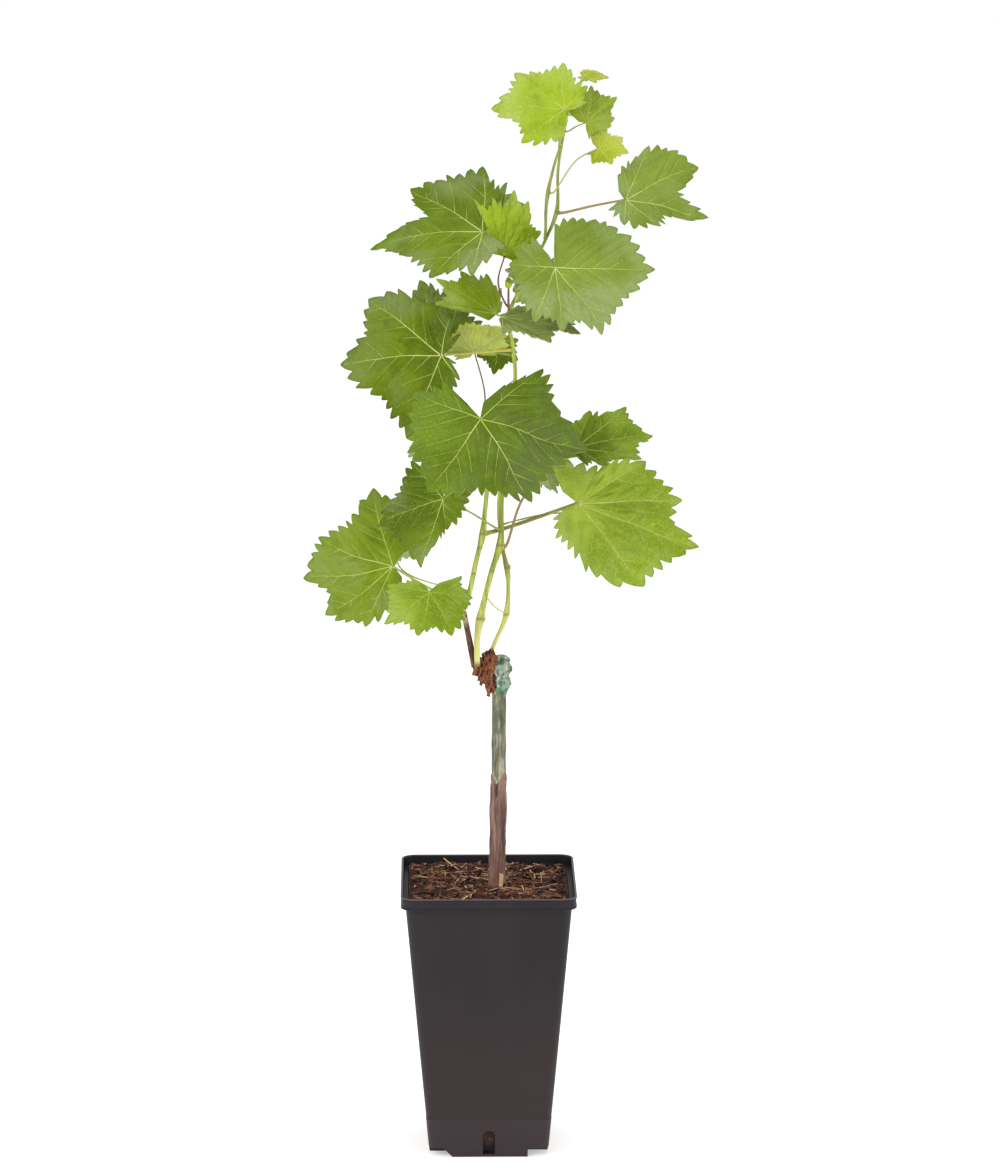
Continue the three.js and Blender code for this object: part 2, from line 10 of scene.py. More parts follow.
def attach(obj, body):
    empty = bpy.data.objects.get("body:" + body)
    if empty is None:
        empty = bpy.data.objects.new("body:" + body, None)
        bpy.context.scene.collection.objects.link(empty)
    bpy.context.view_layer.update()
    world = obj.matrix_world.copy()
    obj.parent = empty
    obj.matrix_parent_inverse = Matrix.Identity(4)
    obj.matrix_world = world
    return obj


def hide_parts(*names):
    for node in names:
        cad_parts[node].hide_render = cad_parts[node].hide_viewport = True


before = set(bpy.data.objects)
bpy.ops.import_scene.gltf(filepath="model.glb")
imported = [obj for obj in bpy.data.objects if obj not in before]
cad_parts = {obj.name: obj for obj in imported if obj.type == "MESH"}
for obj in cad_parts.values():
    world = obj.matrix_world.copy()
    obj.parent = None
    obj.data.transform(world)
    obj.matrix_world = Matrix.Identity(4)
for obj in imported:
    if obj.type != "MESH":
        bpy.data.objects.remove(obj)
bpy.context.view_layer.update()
scene = bpy.context.scene
MM = 0.001

# ---- camera ----
# A long lens a few metres in front of the plant and a little above it, tipped down towards the
# middle of the stem.
CAMERA_PLACE = (-37, -3600, 1177)
CAMERA_TIP = 11.76
CAMERA_YAW = -0.73
CAMERA_LENS = 153.7

camera = bpy.data.objects.new("camera", bpy.data.cameras.new("camera"))
camera.data.lens = CAMERA_LENS
camera.data.sensor_width = 36
camera.data.clip_end = 200
camera.location = Vector(CAMERA_PLACE) * MM
camera.rotation_euler = (math.radians(90 - CAMERA_TIP), 0, math.radians(CAMERA_YAW))
scene.collection.objects.link(camera)
scene.camera = camera

# ---- studio ----
# A wide white floor that runs out of sight behind the plant, an even white sky, and two large
# soft lamps: one above the camera to the left, and one to the right.
FLOOR_SIZE = 60


def colour(code):
    """The linear colour of a #rrggbb code."""
    parts = [int(code[i : i + 2], 16) / 255 for i in (1, 3, 5)]
    linear = [p / 12.92 if p <= 0.04045 else ((p + 0.055) / 1.055) ** 2.4 for p in parts]
    return (*linear, 1.0)


class Wire:
    """One output of a material's node, so that shader maths can be written as sums."""

    def __init__(self, tree, socket):
        self.tree = tree
        self.socket = socket

    def maths(self, operation, *others):
        node = self.tree.nodes.new("ShaderNodeMath")
        node.operation = operation
        for entry, value in zip(node.inputs, (self, *others)):
            join(self.tree, value, entry)
        return Wire(self.tree, node.outputs[0])

    def __add__(self, other):
        return self.maths("ADD", other)

    def __sub__(self, other):
        return self.maths("SUBTRACT", other)

    def __rsub__(self, other):
        return self.maths("MULTIPLY", -1) + other

    def __mul__(self, other):
        return self.maths("MULTIPLY", other)

    def __truediv__(self, other):
        return self.maths("DIVIDE", other)

    def __abs__(self):
        return self.maths("ABSOLUTE")

    __radd__ = __add__
    __rmul__ = __mul__

    def between(self, low, high):
        """0 below low, 1 above high, and eased in the range between them."""
        node = self.tree.nodes.new("ShaderNodeMapRange")
        node.interpolation_type = "SMOOTHSTEP"
        for entry, value in zip(node.inputs, (self, low, high, 0.0, 1.0)):
            join(self.tree, value, entry)
        return Wire(self.tree, node.outputs[0])


def join(tree, value, entry):
    """Gives a node's entry a value, a #rrggbb colour, or a wire from another node."""
    if isinstance(value, Wire):
        tree.links.new(value.socket, entry)
    elif isinstance(value, str):
        entry.default_value = colour(value)
    else:
        entry.default_value = value


class Finish:
    """A material while it is made: one shader, and the nodes that feed it."""

    def __init__(self, name, **fixed):
        self.material = bpy.data.materials.new(name)
        self.material.use_nodes = True
        self.tree = self.material.node_tree
        self.shader = self.tree.nodes["Principled BSDF"]
        self.feed(**fixed)

    def feed(self, **entries):
        for name, value in entries.items():
            join(self.tree, value, self.shader.inputs[name.replace("_", " ")])

    def node(self, kind, settings=None, output=0, **values):
        made = self.tree.nodes.new("ShaderNode" + kind)
        for name, value in (settings or {}).items():
            setattr(made, name, value)
        for name, value in values.items():
            join(self.tree, value, made.inputs[name.replace("_", " ")])
        return Wire(self.tree, made.outputs[output])

    def mix(self, amount, first, second):
        made = self.tree.nodes.new("ShaderNodeMix")
        made.data_type = "RGBA"
        for entry, value in zip((made.inputs[0], made.inputs[6], made.inputs[7]), (amount, first, second)):
            join(self.tree, value, entry)
        return Wire(self.tree, made.outputs[2])

    def place(self):
        """Where a point of the piece is, in metres."""
        return self.node("TexCoord", output=3)

    def height(self):
        return self.node("SeparateXYZ", output=2, Vector=self.place())

    def noise(self, scale, detail=3.0, stretch=(1, 1, 1)):
        where = self.node("Mapping", Vector=self.place(), Scale=stretch)
        return self.node("TexNoise", Vector=where, Scale=scale, Detail=detail)

    def attribute(self, name):
        return self.node("Attribute", {"attribute_name": name}, output=2)

    def bump(self, height, distance, strength=1.0):
        self.feed(Normal=self.node("Bump", Height=height, Distance=distance, Strength=strength))


def add_object(name, mesh_builder, finishes, smooth_angle=None):
    """Turns a bmesh into a finished piece of the scene, at the origin, with its materials."""
    mesh = bpy.data.meshes.new(name)
    mesh_builder.to_mesh(mesh)
    mesh_builder.free()
    for finish in finishes:
        mesh.materials.append(finish.material)
    mesh.shade_smooth()
    if smooth_angle:
        mesh.set_sharp_from_angle(angle=math.radians(smooth_angle))
    piece = bpy.data.objects.new(name, mesh)
    scene.collection.objects.link(piece)
    return piece


white_floor = Finish("studio_white", Base_Color="#f4f3f1", Roughness=0.9,
                     Emission_Color=(1, 1, 1, 1), Emission_Strength=0.42)
floor_builder = bmesh.new()
bmesh.ops.create_grid(floor_builder, x_segments=2, y_segments=2, size=FLOOR_SIZE / 2)
add_object("studio_floor", floor_builder, [white_floor])

world = bpy.data.worlds.new("studio_sky")
world.use_nodes = True
world.node_tree.nodes["Background"].inputs["Color"].default_value = (1, 1, 1, 1)
world.node_tree.nodes["Background"].inputs["Strength"].default_value = 0.66
scene.world = world
scene.view_settings.view_transform = "Standard"


def soft_lamp(name, place, target, size, power):
    lamp = bpy.data.objects.new(name, bpy.data.lights.new(name, "AREA"))
    lamp.data.size = size
    lamp.data.energy = power
    lamp.location = place
    lamp.rotation_euler = (Vector(target) - Vector(place)).to_track_quat("-Z", "Y").to_euler()
    scene.collection.objects.link(lamp)


soft_lamp("lamp_left", (-1.7, -1.9, 2.0), (0, 0, 0.5), 0.9, 36)
soft_lamp("lamp_right", (1.9, -1.4, 1.2), (0, 0, 0.45), 1.0, 12)
soft_lamp("lamp_above", (0.3, 0.4, 2.5), (0, 0, 0.5), 1.2, 16)

# ---- pot ----
# A thin injection-moulded nursery pot in black plastic: a tall tapered square body with
# rounded corners, a deep rim band on a step, and a foot whose corners are cut away for drainage.
POT_HEIGHT = 204.5
RIM_WIDTH = 130
RIM_BAND = 9
POT_TOP_WIDTH = 122.6
POT_FOOT_WIDTH = 88.6
POT_CORNER = 7
WALL = 1.5
FLOOR = 2
SLOT_WIDTH = 9
SLOT_TOP = 21
FOOT_LIFT = 7
FOOT_STEEP_EDGE = 29
FOOT_SLOPE_EDGE = 34
SEAM_HEIGHT = 30
BODY_TOP = POT_HEIGHT - RIM_BAND
CORNER_STEPS = 8
ARC_STEPS = 14
BEYOND_POT = 60
SLOT_CUT = 22


def body_width(z):
    return POT_FOOT_WIDTH + (POT_TOP_WIDTH - POT_FOOT_WIDTH) * z / BODY_TOP


def square_point(turn, width, corner):
    """A point round a square with rounded corners; turn counts the points from 0."""
    side, step = divmod(turn, CORNER_STEPS + 1)
    angle = math.pi / 2 * (side + step / CORNER_STEPS)
    middle = math.pi / 4 + math.pi / 2 * side
    inset = (width / 2 - corner) * math.sqrt(2)
    return Vector((
        inset * math.cos(middle) + corner * math.cos(angle),
        inset * math.sin(middle) + corner * math.sin(angle),
        0,
    ))


def square_shell(builder, rings):
    """A closed skin through a row of rounded squares, each given by its width, height and corner."""
    count = 4 * (CORNER_STEPS + 1)
    turn = builder.verts.layers.int.new("turn")
    first = bmesh.ops.create_circle(builder, cap_ends=True, segments=count, radius=1)
    for i, vert in enumerate(first["verts"]):
        vert[turn] = i
    loop = list({edge for vert in first["verts"] for edge in vert.link_edges})
    corners = first["verts"]
    for number, (width, height, corner) in enumerate(rings):
        if number:
            made = bmesh.ops.extrude_edge_only(builder, edges=loop)["geom"]
            corners = [part for part in made if isinstance(part, bmesh.types.BMVert)]
            loop = [edge for edge in made if isinstance(edge, bmesh.types.BMEdge)
                    and edge.verts[0] in corners and edge.verts[1] in corners]
        for vert in corners:
            vert.co = (square_point(vert[turn], width, corner) + Vector((0, 0, height))) * MM
    bmesh.ops.edgeloop_fill(builder, edges=loop)
    bmesh.ops.recalc_face_normals(builder, faces=builder.faces[:])


def cut_away(piece, cutter_builder):
    """Takes the cutter's shape out of a piece, for good."""
    mesh = bpy.data.meshes.new("cutter")
    bmesh.ops.recalc_face_normals(cutter_builder, faces=cutter_builder.faces[:])
    cutter_builder.to_mesh(mesh)
    cutter_builder.free()
    cutter = bpy.data.objects.new("cutter", mesh)
    scene.collection.objects.link(cutter)
    cut = piece.modifiers.new("cut", "BOOLEAN")
    cut.operation = "DIFFERENCE"
    cut.solver = "EXACT"
    cut.object = cutter
    bpy.context.view_layer.update()
    finished = bpy.data.meshes.new_from_object(piece.evaluated_get(bpy.context.evaluated_depsgraph_get()))
    piece.modifiers.remove(cut)
    piece.data = finished
    bpy.data.objects.remove(cutter)


def extruded(builder, outline, start, depth, spin):
    """A block whose outline lies in the X and Z plane, run along Y from start, and spun about Z."""
    corners = [builder.verts.new((x * MM, start * MM, z * MM)) for x, z in outline]
    face = builder.faces.new(corners)
    made = bmesh.ops.extrude_face_region(builder, geom=[face])["geom"]
    far = [part for part in made if isinstance(part, bmesh.types.BMVert)]
    bmesh.ops.translate(builder, verts=far, vec=(0, depth * MM, 0))
    bmesh.ops.rotate(builder, verts=corners + far, cent=(0, 0, 0), matrix=Matrix.Rotation(spin, 3, "Z"))


black_plastic = Finish("black_pot_plastic", Specular_IOR_Level=0.28)
pot_height = black_plastic.height() / MM
scuff = black_plastic.noise(26, 4.0, (1, 1, 0.35))
foot_band = 1 - pot_height.between(SEAM_HEIGHT - 0.4, SEAM_HEIGHT + 0.4)
pot_shade = black_plastic.mix(scuff.between(0.35, 0.7), "#181318", "#201a1f")
pot_shade = black_plastic.mix((1 - pot_height.between(20, 170)), pot_shade, "#2d2122")
pot_shade = black_plastic.mix(foot_band * 0.6, pot_shade, "#332a2d")
# painted highlight: a pale grey line along the top edge of the rim stands for the lamp light caught there
rim_painted_highlight = pot_height.between(POT_HEIGHT - 1, POT_HEIGHT - 0.2)
pot_shade = black_plastic.mix(rim_painted_highlight * 0.45, pot_shade, "#7d7980")
black_plastic.feed(Base_Color=pot_shade, Roughness=0.44 + scuff * 0.16)
black_plastic.bump(black_plastic.noise(320, 3.0) + scuff * 0.8, 0.0002, 0.35)

LEDGE = BODY_TOP + WALL
BEAD = 0.45
pot_builder = bmesh.new()
square_shell(pot_builder, [
    (POT_FOOT_WIDTH - 0.8, 0, POT_CORNER - 0.4),
    (POT_FOOT_WIDTH, 0.4, POT_CORNER),
    (body_width(SEAM_HEIGHT - 0.3), SEAM_HEIGHT - 0.3, POT_CORNER),
    (body_width(SEAM_HEIGHT) - 0.5, SEAM_HEIGHT, POT_CORNER),
    (body_width(SEAM_HEIGHT + 0.8) - 0.4, SEAM_HEIGHT + 0.8, POT_CORNER),
    (body_width(100), 100, POT_CORNER + 0.5),
    (POT_TOP_WIDTH, BODY_TOP - 0.2, POT_CORNER + 1),
    (RIM_WIDTH - 1.6, BODY_TOP, POT_CORNER + 3),
    (RIM_WIDTH - 0.5, BODY_TOP + 0.3, POT_CORNER + 3),
    (RIM_WIDTH - 0.3, BODY_TOP + 1.2, POT_CORNER + 3),
    (RIM_WIDTH - 0.3 - 2 * BEAD, BODY_TOP + 1.6, POT_CORNER + 3),
    (RIM_WIDTH - 0.1 - 2 * BEAD, POT_HEIGHT - 1.6, POT_CORNER + 3),
    (RIM_WIDTH - 0.2, POT_HEIGHT - 1.2, POT_CORNER + 3),
    (RIM_WIDTH, POT_HEIGHT - 0.7, POT_CORNER + 3),
    (RIM_WIDTH - 0.3, POT_HEIGHT - 0.2, POT_CORNER + 3),
    (RIM_WIDTH - 1, POT_HEIGHT, POT_CORNER + 3),
    (RIM_WIDTH - 2 * WALL, POT_HEIGHT - 0.2, POT_CORNER + 2),
    (RIM_WIDTH - 0.3 - 2 * WALL, POT_HEIGHT - 0.8, POT_CORNER + 2),
    (RIM_WIDTH - 1 - 2 * WALL, LEDGE + 0.4, POT_CORNER + 2),
    (RIM_WIDTH - 2 - 2 * WALL, LEDGE, POT_CORNER + 2),
    (POT_TOP_WIDTH - 2 * WALL, LEDGE - 0.1, POT_CORNER),
    (body_width(FOOT_LIFT + FLOOR) - 2 * WALL, FOOT_LIFT + FLOOR, POT_CORNER - 1),
])
pot = add_object("pot", pot_builder, [black_plastic])

foot_builder = bmesh.new()
slot_builder = bmesh.new()
slot_round = SLOT_WIDTH / 2
slot_turns = [math.pi * i / ARC_STEPS for i in range(ARC_STEPS + 1)]
slot_arc = [(slot_round * math.cos(a), SLOT_TOP - slot_round + slot_round * math.sin(a)) for a in slot_turns]
slot_outline = [(-slot_round, FLOOR + 0.1), (slot_round, FLOOR + 0.1), *slot_arc]
foot_outline = [(-BEYOND_POT, -1), (FOOT_LIFT - FOOT_SLOPE_EDGE + 1, -1), (-FOOT_SLOPE_EDGE, FOOT_LIFT),
                (-BEYOND_POT, FOOT_LIFT)]
for quarter in range(4):
    spin = math.pi / 2 * quarter
    extruded(slot_builder, slot_outline, -BEYOND_POT, SLOT_CUT, spin)
    extruded(foot_builder, foot_outline, -BEYOND_POT, BEYOND_POT - FOOT_STEEP_EDGE, spin)
cut_away(pot, foot_builder)
cut_away(pot, slot_builder)
pot.data.shade_smooth()
pot.data.set_sharp_from_angle(angle=math.radians(28))
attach(pot, "root")
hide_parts("nursery_pot")

# ---- potting mix ----
# Composted bark, coarse and reddish brown, with fibres and a few pale slivers of wood, filled to
# a little below the rim and uneven on top.
MIX_TOP = 198
MIX_WIDTH = 118.9
MIX_SEED = 11
CHIPS = 2100
FIBRES = 380
GAP = 0.3

bark_mix = Finish("bark_potting_mix")
crumb = bark_mix.noise(240, 5.0)
chip_tint = bark_mix.attribute("tint")
mix_shade = bark_mix.mix(crumb.between(0.3, 0.7), "#140805", "#4c2519")
mix_shade = bark_mix.mix(chip_tint.between(0.05, 0.6) * 0.85, mix_shade, "#8c5a41")
mix_shade = bark_mix.mix(chip_tint.between(0.6, 1.0) * 0.9, mix_shade, "#dcb88c")
dark_fleck = bark_mix.noise(900, 3.0, (1, 0.3, 1)).between(0.5, 0.75)
mix_shade = bark_mix.mix(dark_fleck * 0.4, mix_shade, "#3a1d14")
bark_mix.feed(Base_Color=mix_shade, Roughness=0.9)
bark_mix.bump(crumb, 0.0012, 0.8)

mix_builder = bmesh.new()
tint = mix_builder.verts.layers.float.new("tint")
dice = random.Random(MIX_SEED)
surface = bmesh.ops.create_grid(mix_builder, x_segments=64, y_segments=64, size=MIX_WIDTH / 2 * MM)["verts"]


def mix_height(x, y):
    rough = noise.noise(Vector((x, y, 0)) * 0.05) * 3.0 + noise.noise(Vector((x, y, 7)) * 0.22) * 2.2
    mound = max(0.0, y / 60) * max(0.0, min(1.0, (30 - x) / 60))
    return MIX_TOP - 1.2 + rough + 2.5 * mound


def round_corner(x, y):
    """How far a point of a square is drawn in, so that the square's corners come out round."""
    low, high = sorted((abs(x), abs(y)))
    flat = MIX_WIDTH / 2 - POT_CORNER
    if high == 0 or low / high < flat / (MIX_WIDTH / 2):
        return 1.0
    slope = low / high
    middle = flat * (1 + slope)
    spread = 1 + slope**2
    reach = (middle + math.sqrt(middle**2 - spread * (2 * flat**2 - POT_CORNER**2))) / spread
    return reach / (MIX_WIDTH / 2)


for vert in surface:
    x, y = vert.co.x / MM, vert.co.y / MM
    edge = max(abs(x), abs(y)) / (MIX_WIDTH / 2)
    inset = round_corner(x, y)
    vert.co = Vector((x * inset, y * inset, mix_height(x, y) - 0.8 * edge**6)) * MM
skirt = [edge for edge in mix_builder.edges if edge.is_boundary]
lower = bmesh.ops.extrude_edge_only(mix_builder, edges=skirt)["geom"]
lower_corners = [part for part in lower if isinstance(part, bmesh.types.BMVert)]
mix_foot = FOOT_LIFT + FLOOR + GAP
shrink = (body_width(mix_foot) - 2 * (WALL + 0.6)) / MIX_WIDTH
for vert in lower_corners:
    vert.co = Vector((vert.co.x * shrink, vert.co.y * shrink, mix_foot * MM))
bmesh.ops.holes_fill(mix_builder, edges=[e for e in mix_builder.edges if e.is_boundary])


def chip(size, spot, turn, shade):
    """One broken chip: a block with its corners knocked about."""
    verts = bmesh.ops.create_cube(mix_builder, size=1)["verts"]
    for vert in verts:
        vert.co = Vector((
            vert.co.x * size[0] * dice.uniform(0.6, 1.1),
            vert.co.y * size[1] * dice.uniform(0.55, 1.1),
            vert.co.z * size[2] * dice.uniform(0.5, 1.1),
        )) * MM
        vert.co.rotate(turn)
        vert.co += Vector(spot) * MM
        vert[tint] = shade


for number in range(CHIPS + FIBRES):
    if number < CHIPS:
        length = 2.4 / dice.uniform(0.22, 1) ** 0.9
        size = (length, length * dice.uniform(0.2, 0.55), length * dice.uniform(0.12, 0.35))
        shade = dice.choice((0, 0, 0.1, 0.2, 0.35, 0.5)) * dice.uniform(0.8, 1.15)
        if length < 3.2 and dice.random() < 0.2:
            shade = dice.uniform(0.65, 0.95)
        tip, lift = 1.0, 0.8
    else:
        length = dice.choice((5, 7, 9, 12, 19)) * dice.uniform(0.8, 1.2)
        size = (length, dice.uniform(0.4, 1.2), 0.5)
        shade = dice.choice((0.1, 0.3, 0.45, 0.6, 0.8, 1.0))
        tip, lift = 0.35, 2.0
    limit = MIX_WIDTH / 2 - length * 0.5 - 1
    x, y = dice.uniform(-limit, limit), dice.uniform(-limit, limit)
    turn = Euler((dice.uniform(-tip, tip), dice.uniform(-tip, tip) * 0.6, dice.uniform(0, math.tau)))
    chip(size, (x, y, mix_height(x, y) + lift), turn, shade)
chip((3.4, 1.8, 13), (9.5, -8.4, MIX_TOP + 4.5), Euler((-0.12, 0.08, 0.3)), 1.0)
mix = add_object("potting_mix_chips", mix_builder, [bark_mix], 35)
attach(mix, "root")
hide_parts("potting_mix")

# ---- rootstock and scion ----
# The old wood: a striated purple-brown rootstock, then the smoother grey-green scion under a thin
# coat of grafting wax, a bright green ring of wax, and a pale lump of it on top.
STEM_BASE = MIX_TOP + GAP
STEM_RADIUS = 6
STEM_TOP = 350
STEM_PATH = [(6.5, -1.5, STEM_BASE), (7.5, 0, 256), (8, 0, 284), (8, 0, 318), (8.5, 0, STEM_TOP)]
BARK_TOP = 282
WAX_RING = 347


class Curve:
    """A smooth curve through points, run at an even pace from 0 to 1."""

    FINE = 16

    def __init__(self, points):
        self.points = [Vector(p) for p in points]
        count = (len(points) - 1) * self.FINE
        self.spots = [self.at_knot(i / self.FINE) for i in range(count + 1)]
        self.run = [0.0]
        for first, second in zip(self.spots, self.spots[1:]):
            self.run.append(self.run[-1] + (second - first).length)
        self.length = self.run[-1]

    def at_knot(self, knot):
        points = self.points
        i = min(int(knot), len(points) - 2)
        t = knot - i
        before = points[i - 1] if i > 0 else 2 * points[0] - points[1]
        after = points[i + 2] if i + 2 < len(points) else 2 * points[-1] - points[-2]
        gaps = [max(math.sqrt((b - a).length), 1e-4)
                for a, b in ((before, points[i]), (points[i], points[i + 1]), (points[i + 1], after))]
        return self.eased(before, points[i], points[i + 1], after, gaps, t)

    @staticmethod
    def eased(p0, p1, p2, p3, gaps, t):
        d0, d1, d2 = gaps
        start = ((p1 - p0) / d0 - (p2 - p0) / (d0 + d1) + (p2 - p1) / d1) * d1
        end = ((p2 - p1) / d1 - (p3 - p1) / (d1 + d2) + (p3 - p2) / d2) * d1
        cubic = 2 * p1 - 2 * p2 + start + end
        square = -3 * p1 + 3 * p2 - 2 * start - end
        return cubic * t**3 + square * t**2 + start * t + p1

    def at(self, share):
        """The point at a share of the whole length, and the way the curve runs there."""
        want = max(0.0, min(1.0, share)) * self.length
        low, high = 0, len(self.run) - 1
        while high - low > 1:
            middle = (low + high) // 2
            if self.run[middle] <= want:
                low = middle
            else:
                high = middle
        part = (want - self.run[low]) / max(self.run[high] - self.run[low], 1e-9)
        spot = self.spots[low].lerp(self.spots[high], part)
        return spot, (self.spots[high] - self.spots[low]).normalized()

    def share_at(self, height):
        """How far along the curve first reaches a height, from 0 to 1."""
        low, high = 0.0, 1.0
        for _ in range(20):
            middle = (low + high) / 2
            if self.at(middle)[0].z < height:
                low = middle
            else:
                high = middle
        return low


def limb(builder, curve, thick, around, along, surface=None, material=0, cap=True):
    """A limb along a curve. thick gives its radius along it, and surface what is added to that."""
    rim = 4 if cap else 0
    grid = bmesh.ops.create_grid(builder, x_segments=around, y_segments=along + 2 * rim, size=0.5)["verts"]
    across = None
    stations = []
    for i in range(along + 1):
        spot, way = curve.at(i / along)
        if across is None:
            across = way.orthogonal().normalized()
        across = (across - way * across.dot(way)).normalized()
        stations.append((spot, way, across, way.cross(across)))
    for vert in grid:
        column = round((vert.co.x + 0.5) * around)
        row = round((vert.co.y + 0.5) * (along + 2 * rim)) - rim
        station = max(0, min(along, row))
        spot, way, side, other = stations[station]
        inwards = max(0, -row, row - along) / max(rim, 1)
        angle = math.tau * (column % around) / around
        share = station / along
        radius = thick(share)
        if surface:
            radius += surface(share, angle, spot)
        radius *= math.sqrt(max(0.0, 1 - inwards**2))
        vert.co = (spot + side * radius * math.cos(angle) + other * radius * math.sin(angle)) * MM
    bmesh.ops.remove_doubles(builder, verts=grid, dist=1e-7)
    kept = {v for v in grid if v.is_valid}
    for face in builder.faces:
        if face.verts[0] in kept:
            face.material_index = material


def stem_radius(share):
    flare = 0.12 * math.exp(-share * 12)
    node = 0.13 * math.exp(-(((share - 0.37) / 0.06) ** 2))
    return STEM_RADIUS * (1 + flare + node - 0.05 * share)


def bark_edge(angle):
    """How high the torn edge of the bark reaches, round the stem."""
    return BARK_TOP + 5 * noise.noise(Vector((math.cos(angle) * 2.2, math.sin(angle) * 2.2, 4)))


def stem_surface(share, angle, spot):
    round_it = Vector((math.cos(angle), math.sin(angle), 0))
    if spot.z < bark_edge(angle):
        strip = Vector((round_it.x * 5.5, round_it.y * 5.5, spot.z * 0.035))
        flake = Vector((round_it.x * 2.2, round_it.y * 2.2, spot.z * 0.11))
        return 0.5 * noise.noise(strip) + 0.4 * noise.noise(flake * 1.6) - 0.05
    wax = 0.45 * noise.noise(Vector((round_it.x * 1.4, round_it.y * 1.4, spot.z * 0.08)))
    ring = 0.7 * math.exp(-(((spot.z - WAX_RING) / 2.6) ** 2)) * (1 + noise.noise(round_it * 3))
    return wax - 0.45 + ring


old_wood = Finish("striated_bark")
striae = old_wood.noise(300, 5.0, (1, 1, 0.09))
flakes = old_wood.noise(150, 4.0, (1, 1, 0.3))
wood_height = old_wood.height() / MM
bark_shade = old_wood.mix(striae.between(0.32, 0.68), "#37231f", "#9a776a")
bark_shade = old_wood.mix(flakes.between(0.52, 0.7) * 0.6, bark_shade, "#5b4440")
# painted light: near its foot the bark is laid lighter and redder, against the shade that the pot rim casts
# there
bark_shade = old_wood.mix((1 - wood_height.between(205, 245)) * 0.3, bark_shade, "#a8745f")
scion_shade = old_wood.mix(flakes.between(0.35, 0.65), "#343723", "#7d7a5a")
scion_shade = old_wood.mix(striae.between(0.5, 0.72) * 0.75, scion_shade, "#b9b6a2")
scion_shade = old_wood.mix(old_wood.noise(75).between(0.52, 0.62) * 0.6, scion_shade, "#46573f")
torn = wood_height + 44 * (old_wood.noise(330, 3.0, (1, 1, 0.22)) - 0.5)
frayed = 1 - torn.between(BARK_TOP + 1, BARK_TOP + 5)
scion_shade = old_wood.mix(frayed * 0.6, scion_shade, "#c9c3b4")
wood_shade = old_wood.mix(torn.between(BARK_TOP - 0.8, BARK_TOP + 0.8), bark_shade, scion_shade)
knobs = old_wood.noise(260, 4.0)
lump_shade = old_wood.mix(knobs.between(0.38, 0.6), "#46634f", "#9cae97")
# painted highlights: pale, nearly white flecks on the wax lump stand for glints on the glossy wax
lump_shade = old_wood.mix(old_wood.noise(160, 3.0).between(0.55, 0.68) * 0.85, lump_shade, "#e3e8da")
lump_shade = old_wood.mix(old_wood.noise(420, 3.0).between(0.62, 0.72) * 0.35, lump_shade, "#54402f")
ragged = wood_height + 24 * (old_wood.noise(170, 4.0) - 0.5)
wood_shade = old_wood.mix(ragged.between(WAX_RING - 1.5, WAX_RING + 1.5), wood_shade, lump_shade)
fringe = ragged.between(WAX_RING - 2, WAX_RING - 0.5)
fringe = fringe * (1 - ragged.between(WAX_RING + 2, WAX_RING + 4.5))
fringe = fringe * old_wood.noise(330, 3.0).between(0.4, 0.6)
wood_shade = old_wood.mix(fringe * 0.85, wood_shade, "#1f8a5a")
old_wood.feed(Base_Color=wood_shade, Roughness=0.8 - 0.35 * wood_height.between(BARK_TOP + 2, BARK_TOP + 6))
knobbly = knobs * wood_height.between(WAX_RING - 3, WAX_RING + 3)
old_wood.bump(striae * 0.7 + flakes * 0.5 + knobbly, 0.0011, 0.9)


def lump(builder, centre, size, roughness, seed, material=0):
    """A rough rounded lump, its surface thrown up and down by roughness."""
    ball = bmesh.ops.create_icosphere(builder, subdivisions=4, radius=1)["verts"]
    for vert in ball:
        way = vert.co.normalized()
        swell = 1 + roughness * noise.noise(way * 2.3 + Vector((seed, 0, 0)))
        swell += roughness * 0.5 * noise.noise(way * 6 + Vector((0, seed, 0)))
        vert.co = Vector([(c + w * s * swell) * MM for c, w, s in zip(centre, way, size)])
    for face in {face for vert in ball for face in vert.link_faces}:
        face.material_index = material


trunk_builder = bmesh.new()
limb(trunk_builder, Curve(STEM_PATH), stem_radius, 72, 230, stem_surface)
for centre, size, seed in (((9.5, 0, 363), (6.6, 6.9, 10.5), 3), ((10.5, -0.5, 353), (6.2, 6.8, 7), 4),
                           ((14.2, -0.5, 363.5), (3.6, 4.4, 4.6), 8), ((12, -1, 370), (4.2, 5, 4), 9)):
    lump(trunk_builder, centre, size, 0.22, seed)
bmesh.ops.recalc_face_normals(trunk_builder, faces=trunk_builder.faces[:])
trunk = add_object("trunk_and_graft", trunk_builder, [old_wood])
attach(trunk, "root")
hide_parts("trunk")

# ---- old head and spur ----
# What is left of the scion's first wood: a scaly reddish-brown head beside the wax, and the short
# dead spur that the left shoot grew from.
scaly_bark = Finish("scaly_reddish_bark", Roughness=0.85)
scale = scaly_bark.noise(330, 5.0, (1, 1, 0.5))
rust = scaly_bark.noise(130, 2.0)
scale_shade = scaly_bark.mix(scale.between(0.4, 0.6), "#42210f", "#92583f")
rusty = rust.between(0.5, 0.62) * scale.between(0.38, 0.55)
scale_shade = scaly_bark.mix(rusty, scale_shade, "#a85530")
scale_shade = scaly_bark.mix(scale.between(0.62, 0.72) * 0.8, scale_shade, "#d3b296")
scaly_bark.feed(Base_Color=scale_shade)
scaly_bark.bump(scale, 0.0014, 1.0)


